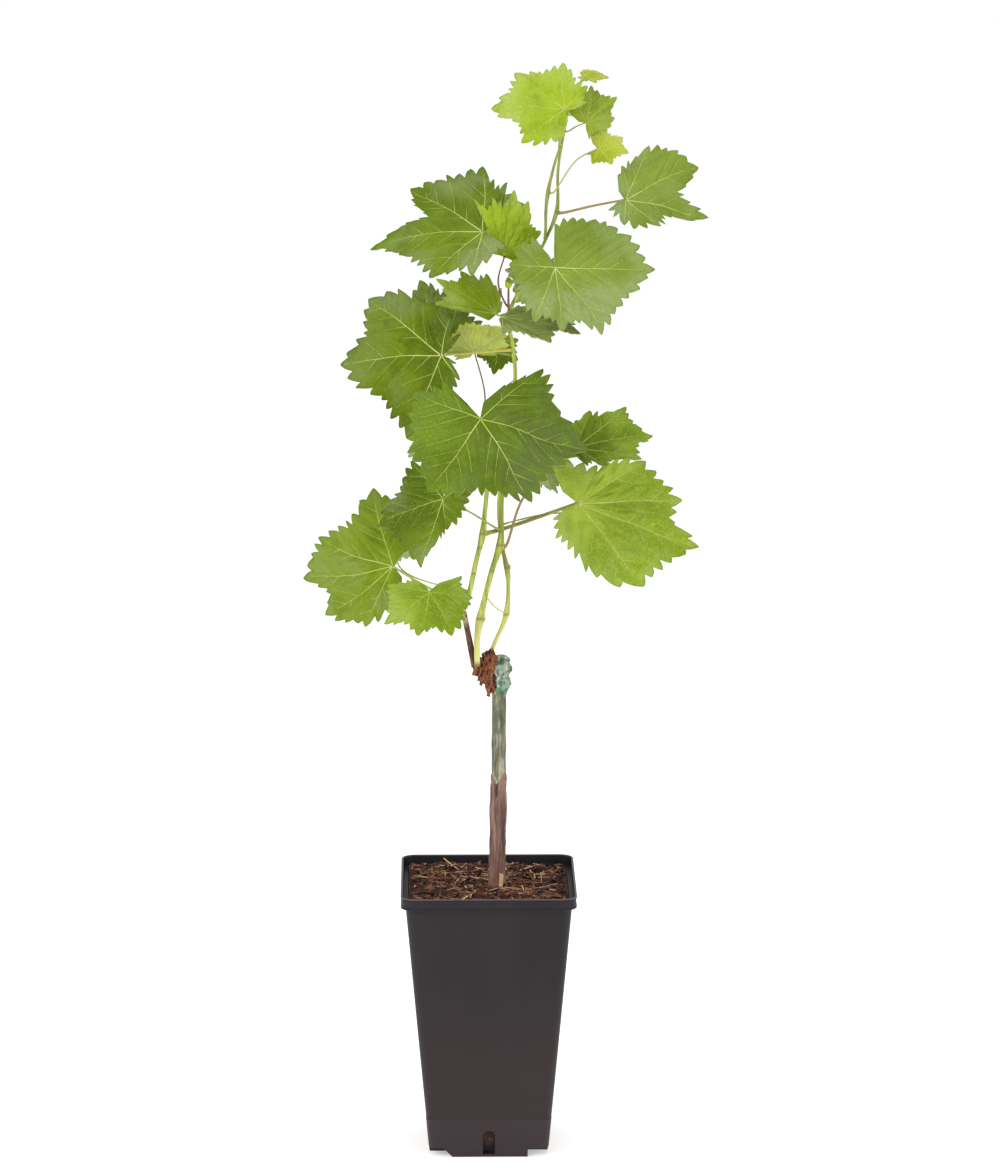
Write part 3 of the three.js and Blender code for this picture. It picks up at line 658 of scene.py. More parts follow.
def scales(builder, middle, spread, count, dice):
    """A patch of torn upright scales on the front of a rounded lump."""
    for _ in range(count):
        turn = dice.uniform(-math.pi, 0.25)
        rise = dice.uniform(-1, 1)
        belt = math.sqrt(1 - 0.8 * rise**2)
        spot = Vector((math.cos(turn) * belt, math.sin(turn) * belt, rise))
        spot = Vector([m + s * p for m, s, p in zip(middle, spread, spot)])
        size = dice.uniform(0.7, 1.7)
        block = bmesh.ops.create_cube(builder, size=1)["verts"]
        lean = Euler((dice.uniform(-0.5, 0.3), dice.uniform(-0.5, 0.5), turn + math.pi / 2))
        for vert in block:
            narrow = 0.45 if vert.co.z > 0 else 1.0
            vert.co = Vector((vert.co.x * size * 2 * narrow, vert.co.y * size * 0.7, vert.co.z * size * 3.6))
            vert.co *= dice.uniform(0.8, 1.15)
            vert.co.rotate(lean)
            vert.co = (vert.co + spot) * MM


HEAD_SEED = 5
HEAD_LUMPS = (((1, -2, 370), (5.6, 5.2, 6.6)), ((-5, -3, 366.5), (5.4, 5.6, 5.8)),
              ((-1.4, -3, 358.5), (5.6, 5.4, 6.2)), ((1.6, -2.4, 351), (3.4, 4.6, 5.4)))
head_builder = bmesh.new()
head_dice = random.Random(HEAD_SEED)
for number, (centre, size) in enumerate(HEAD_LUMPS):
    lump(head_builder, centre, size, 0.3, number + 5)
    scales(head_builder, centre, size, round(3.4 * size[0] * size[2] / 4), head_dice)
scales(head_builder, (-8, -9, 363.5), (2.7, 2.7, 1.4), 24, head_dice)
scales(head_builder, (2.2, 2.2, 375.5), (2.4, 2.4, 1.6), 14, head_dice)
head = add_object("scaly_head", head_builder, [scaly_bark])
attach(head, "root")
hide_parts("old_wood_head")

spur_wood = Finish("dead_spur_wood", Roughness=0.75)
spur_grain = spur_wood.noise(260, 4.0, (1, 1, 0.15))
spur_shade = spur_wood.mix(spur_grain.between(0.35, 0.65), "#44261d", "#93654d")
spur_pale = (spur_wood.height() / MM).between(392, 410) * spur_wood.noise(150, 3.0).between(0.4, 0.55)
spur_wood.feed(Base_Color=spur_wood.mix(spur_pale * 0.8, spur_shade, "#d6c3a2"))
spur_wood.bump(spur_grain, 0.0006, 0.6)
SPUR_PATH = [(-10, -2.5, 366), (-14.5, -6, 390), (-18, -9, 409), (-19, -9, 413)]


def even_taper(foot, tip, nodes=(), swelling=0.3, spread=0.03):
    """A radius that falls evenly from foot to tip and swells for a short way at each node."""
    def radius(share):
        swell = sum(math.exp(-(((share - node) / spread) ** 2)) for node in nodes)
        return (foot + (tip - foot) * share) * (1 + swelling * swell)
    return radius


def grain_surface(share, angle, spot):
    return 0.12 * noise.noise(Vector((math.cos(angle) * 2, math.sin(angle) * 2, spot.z * 0.12)))


spur_builder = bmesh.new()
limb(spur_builder, Curve(SPUR_PATH), even_taper(2.5, 1.9), 20, 40, grain_surface)
spur = add_object("dead_spur_stub", spur_builder, [spur_wood])
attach(spur, "root")
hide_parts("dead_spur")

# ---- shoots ----
# This year's green shoots, smooth and faintly ribbed, swollen at each node where a leaf stalk
# leaves, paler low down and flushed with brown-red in places.
SHOOTS = {
    "main": {
        "path": [(-8, -9, 366), (-8, -9.5, 390), (-4, -5, 411), (3, 0, 438), (9, 0, 458), (10, 0, 490),
                 (14, 1, 540), (20, 2, 580), (18, 1, 606), (15, 1, 626), (24, 1, 648), (42, 1, 683),
                 (50, 0, 704), (51, 0, 735), (55, 1, 760), (60, 4, 787)],
        "foot": 2.2, "tip": 0.8, "nodes": (402, 456, 625, 703), "steps": 44,
    },
    "left": {
        "path": [(-17, -9, 412.5), (-13.5, -9, 424), (-9, -10, 446), (-4, -10, 467), (-2.5, -10, 482),
                 (0, -8, 510), (2, -4, 546)],
        "foot": 2.0, "tip": 1.4, "nodes": (467,), "steps": 16,
    },
    "thin": {
        "path": [(1, 1, 372), (5, 5, 382), (13, 7, 401), (15, 10, 430), (11, 11, 452), (8, 12, 480),
                 (10, 12, 505), (13, 12, 528)],
        "foot": 1.6, "tip": 1.2, "nodes": (404, 437), "steps": 18,
    },
    "lateral": {
        "path": [(41.5, 0.5, 683.5), (42, -3, 692), (42, -5, 703), (43.5, -5.5, 718), (48, -6, 738),
                 (53.5, -6, 755)],
        "foot": 1.1, "tip": 0.9, "nodes": (718,), "steps": 8,
    },
}

green_bark = Finish("green_shoot_bark", Roughness=0.5)
rib = green_bark.noise(420, 3.0, (1, 1, 0.04))
flush = green_bark.noise(24, 2.0)
shoot_height = green_bark.height() / MM
shoot_shade = green_bark.mix(rib.between(0.35, 0.65), "#85922a", "#bac25c")
shoot_shade = green_bark.mix(1 - shoot_height.between(370, 430), shoot_shade, "#dedb88")
for node_height in (402.5, 437, 456.5, 467, 625, 703):
    ring = 1 - abs(shoot_height - node_height - 0.6).between(0.4, 1.6)
    shoot_shade = green_bark.mix(ring * 0.6, shoot_shade, "#7d7434")
shoot_shade = green_bark.mix(1 - shoot_height.between(368, 373), shoot_shade, "#8a6a3a")
shoot_shade = green_bark.mix(flush.between(0.56, 0.7) * 0.5, shoot_shade, "#8a6a3c")
shoot_shade = green_bark.mix(shoot_height.between(640, 690) * 0.45, shoot_shade, "#6d7a33")
green_bark.feed(Base_Color=shoot_shade)
green_bark.bump(rib, 0.0003, 0.5)


def rib_surface(share, angle, spot):
    return 0.05 * math.cos(angle * 9) + 0.06 * noise.noise(Vector((angle, spot.z * 0.2, 3)))


for name, shoot in SHOOTS.items():
    shoot["curve"] = Curve(shoot["path"])
    node_shares = [shoot["curve"].share_at(height) for height in shoot["nodes"]]
    shoot["radius"] = even_taper(shoot["foot"], shoot["tip"], node_shares, 0.5, 0.9 / shoot["steps"])
    shoot_builder = bmesh.new()
    limb(shoot_builder, shoot["curve"], shoot["radius"], 24, int(shoot["curve"].length / 1.6), rib_surface)
    for share in node_shares:
        spot, way = shoot["curve"].at(share)
        radius = shoot["radius"](share)
        bud = bmesh.ops.create_icosphere(shoot_builder, subdivisions=3, radius=radius * 0.8 * MM)["verts"]
        bmesh.ops.scale(shoot_builder, verts=bud, vec=(0.8, 0.8, 1.3))
        bud_place = spot + Vector((radius * 0.7, -radius * 0.5, 1))
        bmesh.ops.translate(shoot_builder, verts=bud, vec=bud_place * MM)
    piece = add_object(f"green_shoot_{name}", shoot_builder, [green_bark])
    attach(piece, "root")
    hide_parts(f"shoot_{name}")

# ---- leaves ----
# Five-veined vine leaves, each a thin blade that hangs or stands on its own long stalk. The blade
# is quilted between its veins, and its margin is one row of pointed teeth, longest at the lobes.
NOTCH_FLOOR = 0.02
NOTCH_HOOK = 2.5
WIDEST_NOTCH = 172
TOOTH_SHARE = 0.082
QUILT = 0.026
PLEAT = 0.045
CRINKLE = 0.03
MARGIN_CURL = 0.035
BLADE_RINGS = 24
MIDDLING_LEAF = 80
SPAN_STEPS = 12
UPPER, UNDER, STALK, VEIN, RIB = range(5)
LOBE_CUT = 0.12
RUFFLE = 0.03
RUFFLE_WAVES = 5
BLADE_THICKNESS = 0.0006
SLIGHT_BENDS = (10, 10, 10, 10, 10)
SMALL_EARS = ((28, 0.72), (28, 0.72))
SIDE_VEIN_LEAN = 1.05
SIDE_VEIN_CURVE = 0.45
SIDE_VEINS = 6
SWAY = 0.09


def between(x, xs, ys, ease=False):
    """A value that goes from one control point to the next, along straight lines or eased."""
    if x <= xs[0]:
        return ys[0]
    for i in range(1, len(xs)):
        if x <= xs[i]:
            t = (x - xs[i - 1]) / (xs[i] - xs[i - 1])
            return ys[i - 1] + (ys[i] - ys[i - 1]) * (t * t * (3 - 2 * t) if ease else t)
    return ys[-1]


class Blade:
    """The rule of one blade. Five veins fan from the junction: two on the left, the midrib and two
    on the right, seen from the face. bends is how far each has turned away from the face at its
    tip, an ear is where the margin turns in to the notch at the stalk, and cut is how far the
    margin is cut in between its lobes: less than none is a bulge."""

    def __init__(self, leaf, dice):
        turn, tilt, swing = (math.radians(a) for a in leaf["face"])
        down = Vector((math.sin(turn) * math.sin(tilt), -math.cos(turn) * math.sin(tilt), -math.cos(tilt)))
        right = Vector((math.cos(turn), math.sin(turn), 0))
        self.face = Vector((math.sin(turn) * math.cos(tilt), -math.cos(turn) * math.cos(tilt),
                            math.sin(tilt)))
        self.midrib = down * math.cos(swing) + right * math.sin(swing)
        self.side = right * math.cos(swing) - down * math.sin(swing)
        self.junction = Vector(leaf["junction"])
        far_left, left, near_right, far_right = leaf["fan"]
        (left_past, left_share), (right_past, right_share) = leaf.get("ears", SMALL_EARS)
        self.veins = leaf["veins"]
        self.angles = (-far_left, -left, 0, near_right, far_right)
        self.notch_left = -min(far_left + left_past, WIDEST_NOTCH)
        self.notch_right = min(far_right + right_past, WIDEST_NOTCH)
        self.rim_angles = (self.notch_left, *self.angles, self.notch_right)
        self.rim_reach = (self.veins[0] * left_share, *self.veins, self.veins[4] * right_share)
        self.bends = leaf.get("bends", SLIGHT_BENDS)
        cut = leaf.get("cut", LOBE_CUT)
        self.cuts = cut if isinstance(cut, tuple) else (cut,) * 6
        self.length = max(self.veins)
        self.drift = dice.uniform(0, 40)
        self.tooth = TOOTH_SHARE * self.length + 1.0
        self.margin = self.cut_margin(dice)

    def reach(self, angle):
        """How far the margin is from the junction, before its teeth are cut."""
        notch = -self.notch_left if angle < 0 else self.notch_right
        ear = self.rim_reach[0] if angle < 0 else self.rim_reach[6]
        if abs(angle) > notch:
            inwards = (abs(angle) - notch) / (180 - notch)
            return ear * (NOTCH_FLOOR + (1 - NOTCH_FLOOR) * (1 - inwards) ** NOTCH_HOOK)
        hollow = 0.0
        for cut, low, high in zip(self.cuts, self.rim_angles, self.rim_angles[1:]):
            if low <= angle <= high:
                hollow = cut * math.sin(math.pi * (angle - low) / (high - low)) ** 2
        return between(angle, self.rim_angles, self.rim_reach) * (1 - hollow)

    def place(self, angle, distance, lift=0.0):
        bend = math.radians(between(angle, self.angles, self.bends, True)) / self.length
        out, drop = distance, 0.0
        if abs(bend * distance) > 1e-6:
            out = math.sin(bend * distance) / bend
            drop = (1 - math.cos(bend * distance)) / bend
        wave = math.sin(RUFFLE_WAVES * math.radians(angle))
        wave *= RUFFLE * self.length * (distance / self.length) ** 2
        turn = math.radians(angle)
        along, across = out * math.cos(turn), out * math.sin(turn)
        where = Vector((along, across, self.drift * self.length)) * (1.7 / self.length)
        along += SWAY * distance * noise.noise(where)
        across += SWAY * 1.4 * distance * noise.noise(where + Vector((0, 0, 5)))
        return self.junction + self.midrib * along + self.side * across + self.face * (lift + wave - drop)

    def cut_margin(self, dice):
        """The toothed margin as a row of corners: (angle, how far in from the reach, flank shape).
        The teeth lean towards the nearest lobe's tip, and the one at the tip is the largest."""
        corners = []
        pitch = 3.2 + TOOTH_SHARE * self.length
        for low, high in zip(self.rim_angles, self.rim_angles[1:]):
            span = 0.0
            previous = self.place(low, self.reach(low))
            for step in range(1, SPAN_STEPS + 1):
                angle = low + (high - low) * step / SPAN_STEPS
                spot = self.place(angle, self.reach(angle))
                span += (spot - previous).length
                previous = spot
            count = max(1, round(span / pitch))
            shifts = [i + dice.uniform(-0.17, 0.17) for i in range(1, count)]
            tips = [low] + [low + (high - low) * shift / count for shift in shifts]
            ends = tips[1:] + [high]
            for i, (tip, following) in enumerate(zip(tips, ends)):
                back = 0.0 if i == 0 else self.tooth * dice.uniform(0.05, 0.5)
                lean = dice.uniform(0.56, 0.72)
                if (i + 0.5) / count > 0.5:
                    lean = 1 - lean
                corners.append((tip, back))
                corners.append((tip + (following - tip) * lean, self.tooth * dice.uniform(0.75, 1.15)))
        corners.append((self.notch_right, self.tooth * 0.4))
        return corners

    def toothed(self, angle):
        """How far the margin is from the junction, teeth and all."""
        reach = self.reach(angle)
        if not self.notch_left <= angle <= self.notch_right:
            return reach
        for (low, low_in), (high, high_in) in zip(self.margin, self.margin[1:]):
            if low <= angle <= high:
                t = (angle - low) / (high - low) if high > low else 0.0
                down = t if high_in > low_in else 1 - t
                tip, sinus = min(low_in, high_in), max(low_in, high_in)
                return max(reach * 0.5, reach - tip - (sinus - tip) * (0.6 * down + 0.4 * down**2))
        return reach

    def sector(self, angle):
        """The vein nearest an angle, the side of it (-1 or 1), and the share of the way, from 0 at
        the vein to 1 half way to the next vein or at the margin by the notch."""
        number = min(range(5), key=lambda i: abs(self.angles[i] - angle))
        vein = self.angles[number]
        side = 1 if angle >= vein else -1
        if 0 <= number + side <= 4:
            limit = abs(self.angles[number + side] - vein) / 2
        else:
            limit = (self.notch_right - vein) if side > 0 else (vein - self.notch_left)
        return vein, side, min(1.0, abs(angle - vein) / limit)

    def web(self, along, across, side):
        """Counts the side veins that leave a vein, whole numbers being on one of them."""
        lean = along - SIDE_VEIN_LEAN * across - SIDE_VEIN_CURVE * across**2 / self.length
        return lean * SIDE_VEINS / self.length + (0.5 if side > 0 else 0.0)

    def relief(self, angle, distance):
        """How far the quilted blade stands off its plain shape."""
        vein, side, share = self.sector(angle)
        swing = math.radians(min(abs(angle - vein), 90))
        along, across = distance * math.cos(swing), distance * math.sin(swing)
        outwards = min(1.0, distance / self.reach(angle))
        fade = (1 - max(0.0, (share - 0.6) / 0.4) ** 2) * (1 - 0.6 * outwards**6)
        quilt = QUILT * self.length * math.sin(math.pi * self.web(along, across, side)) ** 2
        quilt *= min(1.0, across / (0.05 * self.length)) * min(1.0, distance / (0.3 * self.length)) * fade
        pleat = PLEAT * self.length * (1 - math.cos(math.pi * share)) / 2 * distance / self.length
        spot = Vector((math.cos(math.radians(angle)), math.sin(math.radians(angle)), 0)) * distance
        crinkle = noise.noise(spot * (3.2 / self.length) + Vector((0, 0, self.drift)))
        crinkle *= CRINKLE * self.length * outwards
        curl = noise.noise(spot * (7 / self.length) + Vector((9, 0, self.drift)))
        curl *= MARGIN_CURL * self.length * outwards**5
        return quilt + pleat + crinkle + curl


def add_vein(builder, surface, blade, trail, foot, tip, sunk, material):
    """A vein laid on the blade along a trail of angles and distances."""
    spots = []
    for angle, distance in trail:
        over = blade.place(angle, distance, blade.relief(angle, distance)) * MM
        touch, normal, _, _ = surface.find_nearest(over)
        if normal.dot(blade.face) < 0:
            normal = -normal
        spots.append(touch / MM - normal * sunk)
    steps = max(4, len(trail) - 1)
    limb(builder, Curve(spots), even_taper(foot, tip), 4, steps, None, material, cap=False)


def side_vein(blade, vein, side, start, lean):
    """The trail of a side vein from its start on a vein out to the margin or the next vein's side."""
    trail = []
    for step in range(60):
        across = 0.025 * blade.length * step
        along = start + lean * across + SIDE_VEIN_CURVE * across**2 / blade.length
        angle = vein + side * math.degrees(math.atan2(across, along))
        distance = math.hypot(along, across)
        if not blade.notch_left < angle < blade.notch_right:
            break
        near, _, share = blade.sector(angle)
        if near != vein or share > 0.93 or distance > 0.96 * blade.toothed(angle) - 0.3:
            break
        trail.append((angle, distance))
    return trail


def lay_veins(builder, surface, blade, dice):
    """The five veins and their side veins, raised on both sides of a blade."""
    size = blade.length / MIDDLING_LEAF
    for vein, length in zip(blade.angles, blade.veins):
        trail = [(vein, length * (0.01 + 0.95 * i / 20)) for i in range(21)]
        width = max(0.3, 0.55 * size) * (0.75 + 0.25 * length / blade.length)
        add_vein(builder, surface, blade, trail, width, 0.14, 0.12, VEIN)
        add_vein(builder, surface, blade, trail, width * 1.4, 0.2, 0.75, RIB)
        for side in (-1, 1):
            pitch = blade.length / SIDE_VEINS
            first = 0.5 if side > 0 else 1.0
            starts = [(i + first + dice.uniform(-0.15, 0.15)) * pitch for i in range(SIDE_VEINS)]
            for start in [s for s in starts if s < 0.88 * length]:
                trail = side_vein(blade, vein, side, start, SIDE_VEIN_LEAN * dice.uniform(0.85, 1.15))
                if len(trail) > 3:
                    width = max(0.13, 0.19 * size)
                    add_vein(builder, surface, blade, trail, width, 0.09, 0.06, VEIN)
                    add_vein(builder, surface, blade, trail, width * 1.5, 0.14, 0.68, RIB)


def add_stalk(builder, blade, leaf, shoot):
    """A leaf's stalk, from just clear of its shoot, by way of its bow, to the junction."""
    start_share = shoot["curve"].share_at(leaf["from"])
    foot, way = shoot["curve"].at(start_share)
    bow = Vector(leaf["bow"]) if "bow" in leaf else foot.lerp(blade.junction, 0.5)
    outwards = bow - foot
    outwards = (outwards - way * outwards.dot(way)).normalized()
    clear = shoot["radius"](start_share) * 0.6
    stalk_path = [foot + outwards * clear, foot + outwards * (clear + 2.5) + way * 0.4, bow, blade.junction]
    thick = leaf.get("stalk", max(0.55, min(1.1, blade.length * 0.0135)))
    stalk_curve = Curve(stalk_path)

    def stalk_radius(share):
        swollen = 0.5 * math.exp(-share * 22) + 0.35 * math.exp(-(1 - share) * 28)
        return thick * (1.12 - 0.27 * share) * (1 + swollen)

    limb(builder, stalk_curve, stalk_radius, 12, max(10, int(stalk_curve.length / 2.5)), None, STALK)


def add_leaf(name, shoot_name, leaf, finishes):
    """One leaf: a blade with its veins, on a stalk from a shoot."""
    dice = random.Random(name)
    blade = Blade(leaf, dice)
    marks = sorted({angle for angle, _ in blade.margin} | set(blade.angles))
    angles = [-180, -177, (-180 + 2 * blade.notch_left) / 3]
    for low, high in zip(marks, marks[1:]):
        width = math.radians(high - low) * between((low + high) / 2, blade.rim_angles, blade.rim_reach)
        steps = max(1, min(4, round(width / 1.3)))
        angles.extend(low + (high - low) * i / steps for i in range(steps))
    angles.extend([marks[-1], (180 + 2 * blade.notch_right) / 3, 177, 180])
    builder = bmesh.new()
    rib_layer = builder.verts.layers.float.new("rib")
    edge_layer = builder.verts.layers.float.new("edge")
    painted_light_layer = builder.verts.layers.float.new("painted_light_side")
    last = len(angles) - 1
    painted_light_way = math.radians(leaf.get("painted_light_side", dice.uniform(-180, 180)))
    grid = bmesh.ops.create_grid(builder, x_segments=last, y_segments=BLADE_RINGS, size=0.5)["verts"]
    for vert in grid:
        column = round((vert.co.x + 0.5) * last)
        outwards = (round((vert.co.y + 0.5) * BLADE_RINGS) / BLADE_RINGS) ** 0.85
        angle = angles[column]
        inner = blade.toothed(angle) * 0.8
        if blade.notch_left <= angle <= blade.notch_right:
            inner = max(inner, blade.reach(angle) - blade.tooth * 0.9)
        distance = outwards * (inner + (blade.toothed(angle) - inner) * outwards**5)
        vein, _, _ = blade.sector(angle)
        swing = math.radians(min(abs(vein - angle), 90))
        vert.co = blade.place(angle, distance, blade.relief(angle, distance)) * MM
        vert[rib_layer] = distance * math.sin(swing)
        vert[edge_layer] = outwards
        # painted light and shade: each blade is laid paler towards one side, whose direction each leaf gives
        # in degrees, and deeper green on the other; a leaf's sheen lifts the whole blade towards the pale
        # side
        painted_light_gradient = 0.75 * math.cos(math.radians(angle) - painted_light_way) * distance / blade.length
        vert[painted_light_layer] = 0.5 + leaf.get("sheen", 0) + painted_light_gradient
    bmesh.ops.remove_doubles(builder, verts=grid, dist=2e-6)
    bmesh.ops.recalc_face_normals(builder, faces=builder.faces[:])
    facing = sum((face.normal * face.calc_area() for face in builder.faces), Vector())
    if facing.dot(blade.face) < 0:
        bmesh.ops.reverse_faces(builder, faces=builder.faces[:])
    surface = BVHTree.FromBMesh(builder)
    upper = set(builder.faces)
    bmesh.ops.solidify(builder, geom=builder.faces[:], thickness=BLADE_THICKNESS)
    for face in builder.faces:
        face.material_index = UPPER if face in upper else UNDER
    lay_veins(builder, surface, blade, dice)
    add_stalk(builder, blade, leaf, SHOOTS[shoot_name])
    piece = add_object(f"leaf_blade_{name}", builder, finishes)
    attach(piece, "root")
    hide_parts(f"leaf_{name}")


def leaf_finish(name, deep, light, grey):
    """The upper side of a blade: green, with painted light and shade that pale it to one side, painted sheen
    in grey patches there and along the margin, and finely netted.
    """
    finish = Finish(f"leaf_top_{name}", Specular_IOR_Level=0.1)
    across = finish.attribute("rib")
    edge = finish.attribute("edge")
    painted_light_side = finish.attribute("painted_light_side")
    blotch = finish.noise(30, 3.0)
    net = finish.node("TexVoronoi", {"feature": "DISTANCE_TO_EDGE"}, Vector=finish.place(), Scale=300.0)
    fine = finish.noise(480, 2.0)
    bloom = finish.noise(75, 3.0)
    # painted light and shade: the blade goes from deep to light green across itself, towards the side that
    # each leaf gives, for how light falls on its folds
    shade = finish.mix((painted_light_side + 1.6 * (blotch - 0.5)).between(0.1, 0.8), deep, light)
    # painted sheen: where the blade is palest it is greyed, for the sky's reflection on the waxy upper side
    painted_sheen_mask = (painted_light_side + 2 * (finish.noise(18, 2.0) - 0.5)).between(0.6, 1.1)
    shade = finish.mix(painted_sheen_mask * 0.8, shade, grey)
    shade = finish.mix((1 - across.between(0.3, 5)) * 0.25, shade, light)
    shade = finish.mix(bloom.between(0.5, 0.68) * 0.45, shade, deep)
    shade = finish.mix((1 - net.between(0.0, 0.12)) * 0.5, shade, light)
    # painted sheen: grey patches towards the margin, where the curling blade reflects the sky
    sheen = edge.between(0.45, 0.95) * finish.noise(40, 2.0).between(0.42, 0.62)
    shade = finish.mix(sheen * 0.4, shade, grey)
    shade = finish.mix(fine.between(0.35, 0.7) * 0.15, shade, deep)
    shade = finish.mix(edge.between(0.95, 1.0) * 0.3, shade, deep)
    finish.feed(Base_Color=shade, Roughness=0.42 + 0.16 * blotch)
    finish.bump(net.between(0.0, 0.2) * 0.6 + fine * 0.3, 0.0006, 0.6)
    return finish


def leaf_back_finish(name, deep, light):
    """The underside: paler, matt and faintly felted."""
    finish = Finish(f"leaf_back_{name}", Roughness=0.75, Specular_IOR_Level=0.3)
    net = finish.node("TexVoronoi", {"feature": "DISTANCE_TO_EDGE"}, Vector=finish.place(), Scale=260.0)
    felt = finish.noise(60, 4.0)
    shade = finish.mix(felt.between(0.35, 0.65), deep, light)
    shade = finish.mix((1 - net.between(0.0, 0.08)) * 0.4, shade, light)
    finish.feed(Base_Color=shade)
    finish.bump((1 - net.between(0.0, 0.1)) + felt * 0.3, 0.0005, 0.6)
    return finish


def stalk_finish(name, near, far):
    finish = Finish(f"leaf_stalk_{name}", Roughness=0.45)
    finish.feed(Base_Color=finish.mix(finish.noise(38, 2.0).between(0.4, 0.6), near, far))
    finish.bump(finish.noise(500, 2.0, (1, 1, 0.2)), 0.0002, 0.4)
    return finish


def vein_finish(name, roughness, dark, pale):
    finish = Finish(name, Roughness=roughness)
    finish.feed(Base_Color=finish.mix(finish.noise(90).between(0.3, 0.7), dark, pale))
    return finish


# Each top shade gives a deep green, a light green and a grey: the grey is painted sheen, and the step from
# deep to light is laid across each blade as painted light and shade
TOP_SHADES = {
    "mid": ("#5a710c", "#7b8f20", "#86974f"),
    "deep": ("#455805", "#6a800e", "#7b8a4c"),
    "two_tone": ("#50650a", "#6d831c", "#8c9866"),
    "shaded": ("#6f8a24", "#56690f", "#5c6c38"),
    "grey": ("#6b8128", "#82953a", "#8fa068"),
    "pale": ("#708a14", "#93ab34", "#a3b65c"),
    "bright": ("#7f9722", "#a6b945", "#a4b768"),
    "folded": ("#4f6208", "#748b1e", "#8fa83a"),
    "dull": ("#5c6b28", "#7d8a48", "#98a268"),
    "fresh": ("#738c08", "#9bb128", "#b0c168"),
    "young": ("#87940e", "#a9b52e", "#c3c974"),
}
TOPS = {name: leaf_finish(name, *shades) for name, shades in TOP_SHADES.items()}
BACK_SHADES = {
    "grey": ("#8b9a52", "#a9b674"),
    "young": ("#96a23a", "#bcc65e"),
}
BACKS = {name: leaf_back_finish(name, *shades) for name, shades in BACK_SHADES.items()}
STALK_SHADES = {
    "green": ("#a9b056", "#8b9440"),
    "yellow": ("#c3bd50", "#b0ae44"),
    "pink": ("#8f5f48", "#a08452"),
    "olive": ("#86803a", "#a8a24c"),
    "purple": ("#5d3a36", "#7a5040"),
}
STALKS = {name: stalk_finish(name, *shades) for name, shades in STALK_SHADES.items()}
TOP_VEIN = vein_finish("vein_of_the_upper_side", 0.5, "#abbb45", "#c9d47c")
UNDER_VEIN = vein_finish("rib_of_the_underside", 0.6, "#b9c380", "#d3d8a4")


def looks(top, back="grey", stalk="green"):
    """A leaf's finishes, in the order UPPER, UNDER, STALK, VEIN, RIB."""
    return [TOPS[top], BACKS[back], STALKS[stalk], TOP_VEIN, UNDER_VEIN]


# front of the plant, from the bottom up
add_leaf("low_front", "left", {"from": 420, "sheen": -0.25, "painted_light_side": -70, "junction": (-43, -55, 433),
         "face": (0, 50, -12), "veins": (32, 42, 39, 40, 32), "fan": (95, 38, 38, 95),
         "bends": (10, 15, 10, 15, 10), "ears": ((25, 0.6), (38, 0.97)),
         "cut": (0.1, 0.12, 0.15, 0.05, 0.1, 0.12)}, looks("pale"))
add_leaf("low_left", "left", {"from": 415, "sheen": -0.05, "painted_light_side": 5, "junction": (-70, -15, 444),
         "face": (-20, 10, -77), "veins": (60, 62, 74, 70, 50), "fan": (82, 26, 28, 52),
         "ears": ((40, 0.7), (45, 0.6)), "bow": (-43, -13, 427), "cut": (0.05, 0.18, 0, 0.14, 0, 0.1)},
         looks("mid"))
add_leaf("left_inner", "main", {"from": 469, "painted_light_side": 85, "junction": (-33, -35, 498),
         "face": (-20, 25, -14), "veins": (40, 54, 54, 24, 26), "fan": (118, 55, 20, 145),
         "bends": (10, 10, 10, 90, 40), "ears": ((30, 0.7), (15, 0.7)), "bow": (-14, -27, 487)},
         looks("two_tone"))
add_leaf("right", "left", {"from": 467, "stalk": 1.45, "painted_light_side": 160, "junction": (66, -10, 490),
         "face": (15, 5, 88), "veins": (84, 99, 88, 68, 32), "fan": (50, 22, 30, 62),
         "bends": (10, 10, 30, 40, 40), "ears": ((98, 0.28), (66, 1.15)), "bow": (16, 12, 468),
         "cut": (0.25, 0.06, 0.12, 0, 0, 0)}, looks("bright", stalk="olive"))
add_leaf("right_folded", "main", {"from": 456, "sheen": -0.25, "painted_light_side": 10, "junction": (63, -26, 534),
         "face": (10, 60, 106), "veins": (30, 52, 67, 56, 42), "fan": (60, 30, 24, 50),
         "bends": (10, 10, 10, -20, -20), "bow": (26, -4, 493)}, looks("folded", stalk="pink"))
add_leaf("centre", "left", {"from": 537, "painted_light_side": 40, "junction": (-6, -70, 563), "face": (0, 35, 30),
         "veins": (54, 66, 70, 82, 60), "fan": (148, 64, 45, 105), "bends": (10, 20, 20, 15, 10),
         "ears": ((24, 0.75), (14, 0.6)), "cut": (0.05, 0.08, 0.08, 0.1, 0.12, 0.05)}, looks("shaded"))
add_leaf("left", "main", {"from": 602, "stalk": 0.85, "sheen": -0.15, "painted_light_side": -20,
         "junction": (-34, -30, 603), "face": (-20, 15, -84), "veins": (32, 90, 82, 66, 24),
         "fan": (100, 37, 64, 125), "bends": (60, 40, 15, 15, 10), "ears": ((36, 0.7), (26, 0.7)),
         "cut": 0.17}, looks("deep", stalk="yellow"))
add_leaf("mid_under", "left", {"from": 544.5, "junction": (-10, 2, 601), "face": (180, 30, 155),
         "veins": (22, 26, 30, 34, 26), "fan": (70, 30, 70, 100), "bow": (-2.5, -2, 572)},
         looks("young", "young", "purple"))
add_leaf("mid_level", "main", {"from": 620, "junction": (10, -37, 632), "face": (0, 74, 76),
         "veins": (26, 50, 58, 48, 28), "fan": (75, 32, 36, 80), "ears": ((10, 0.4), (8, 0.4))},
         looks("dull"))
add_leaf("mid_upright", "main", {"from": 625, "painted_light_side": 60, "junction": (6, 9, 627),
         "face": (0, 15, -142), "veins": (20, 32, 44, 52, 46), "fan": (50, 26, 22, 43),
         "ears": ((15, 0.5), (10, 0.4))}, looks("fresh", "young"))
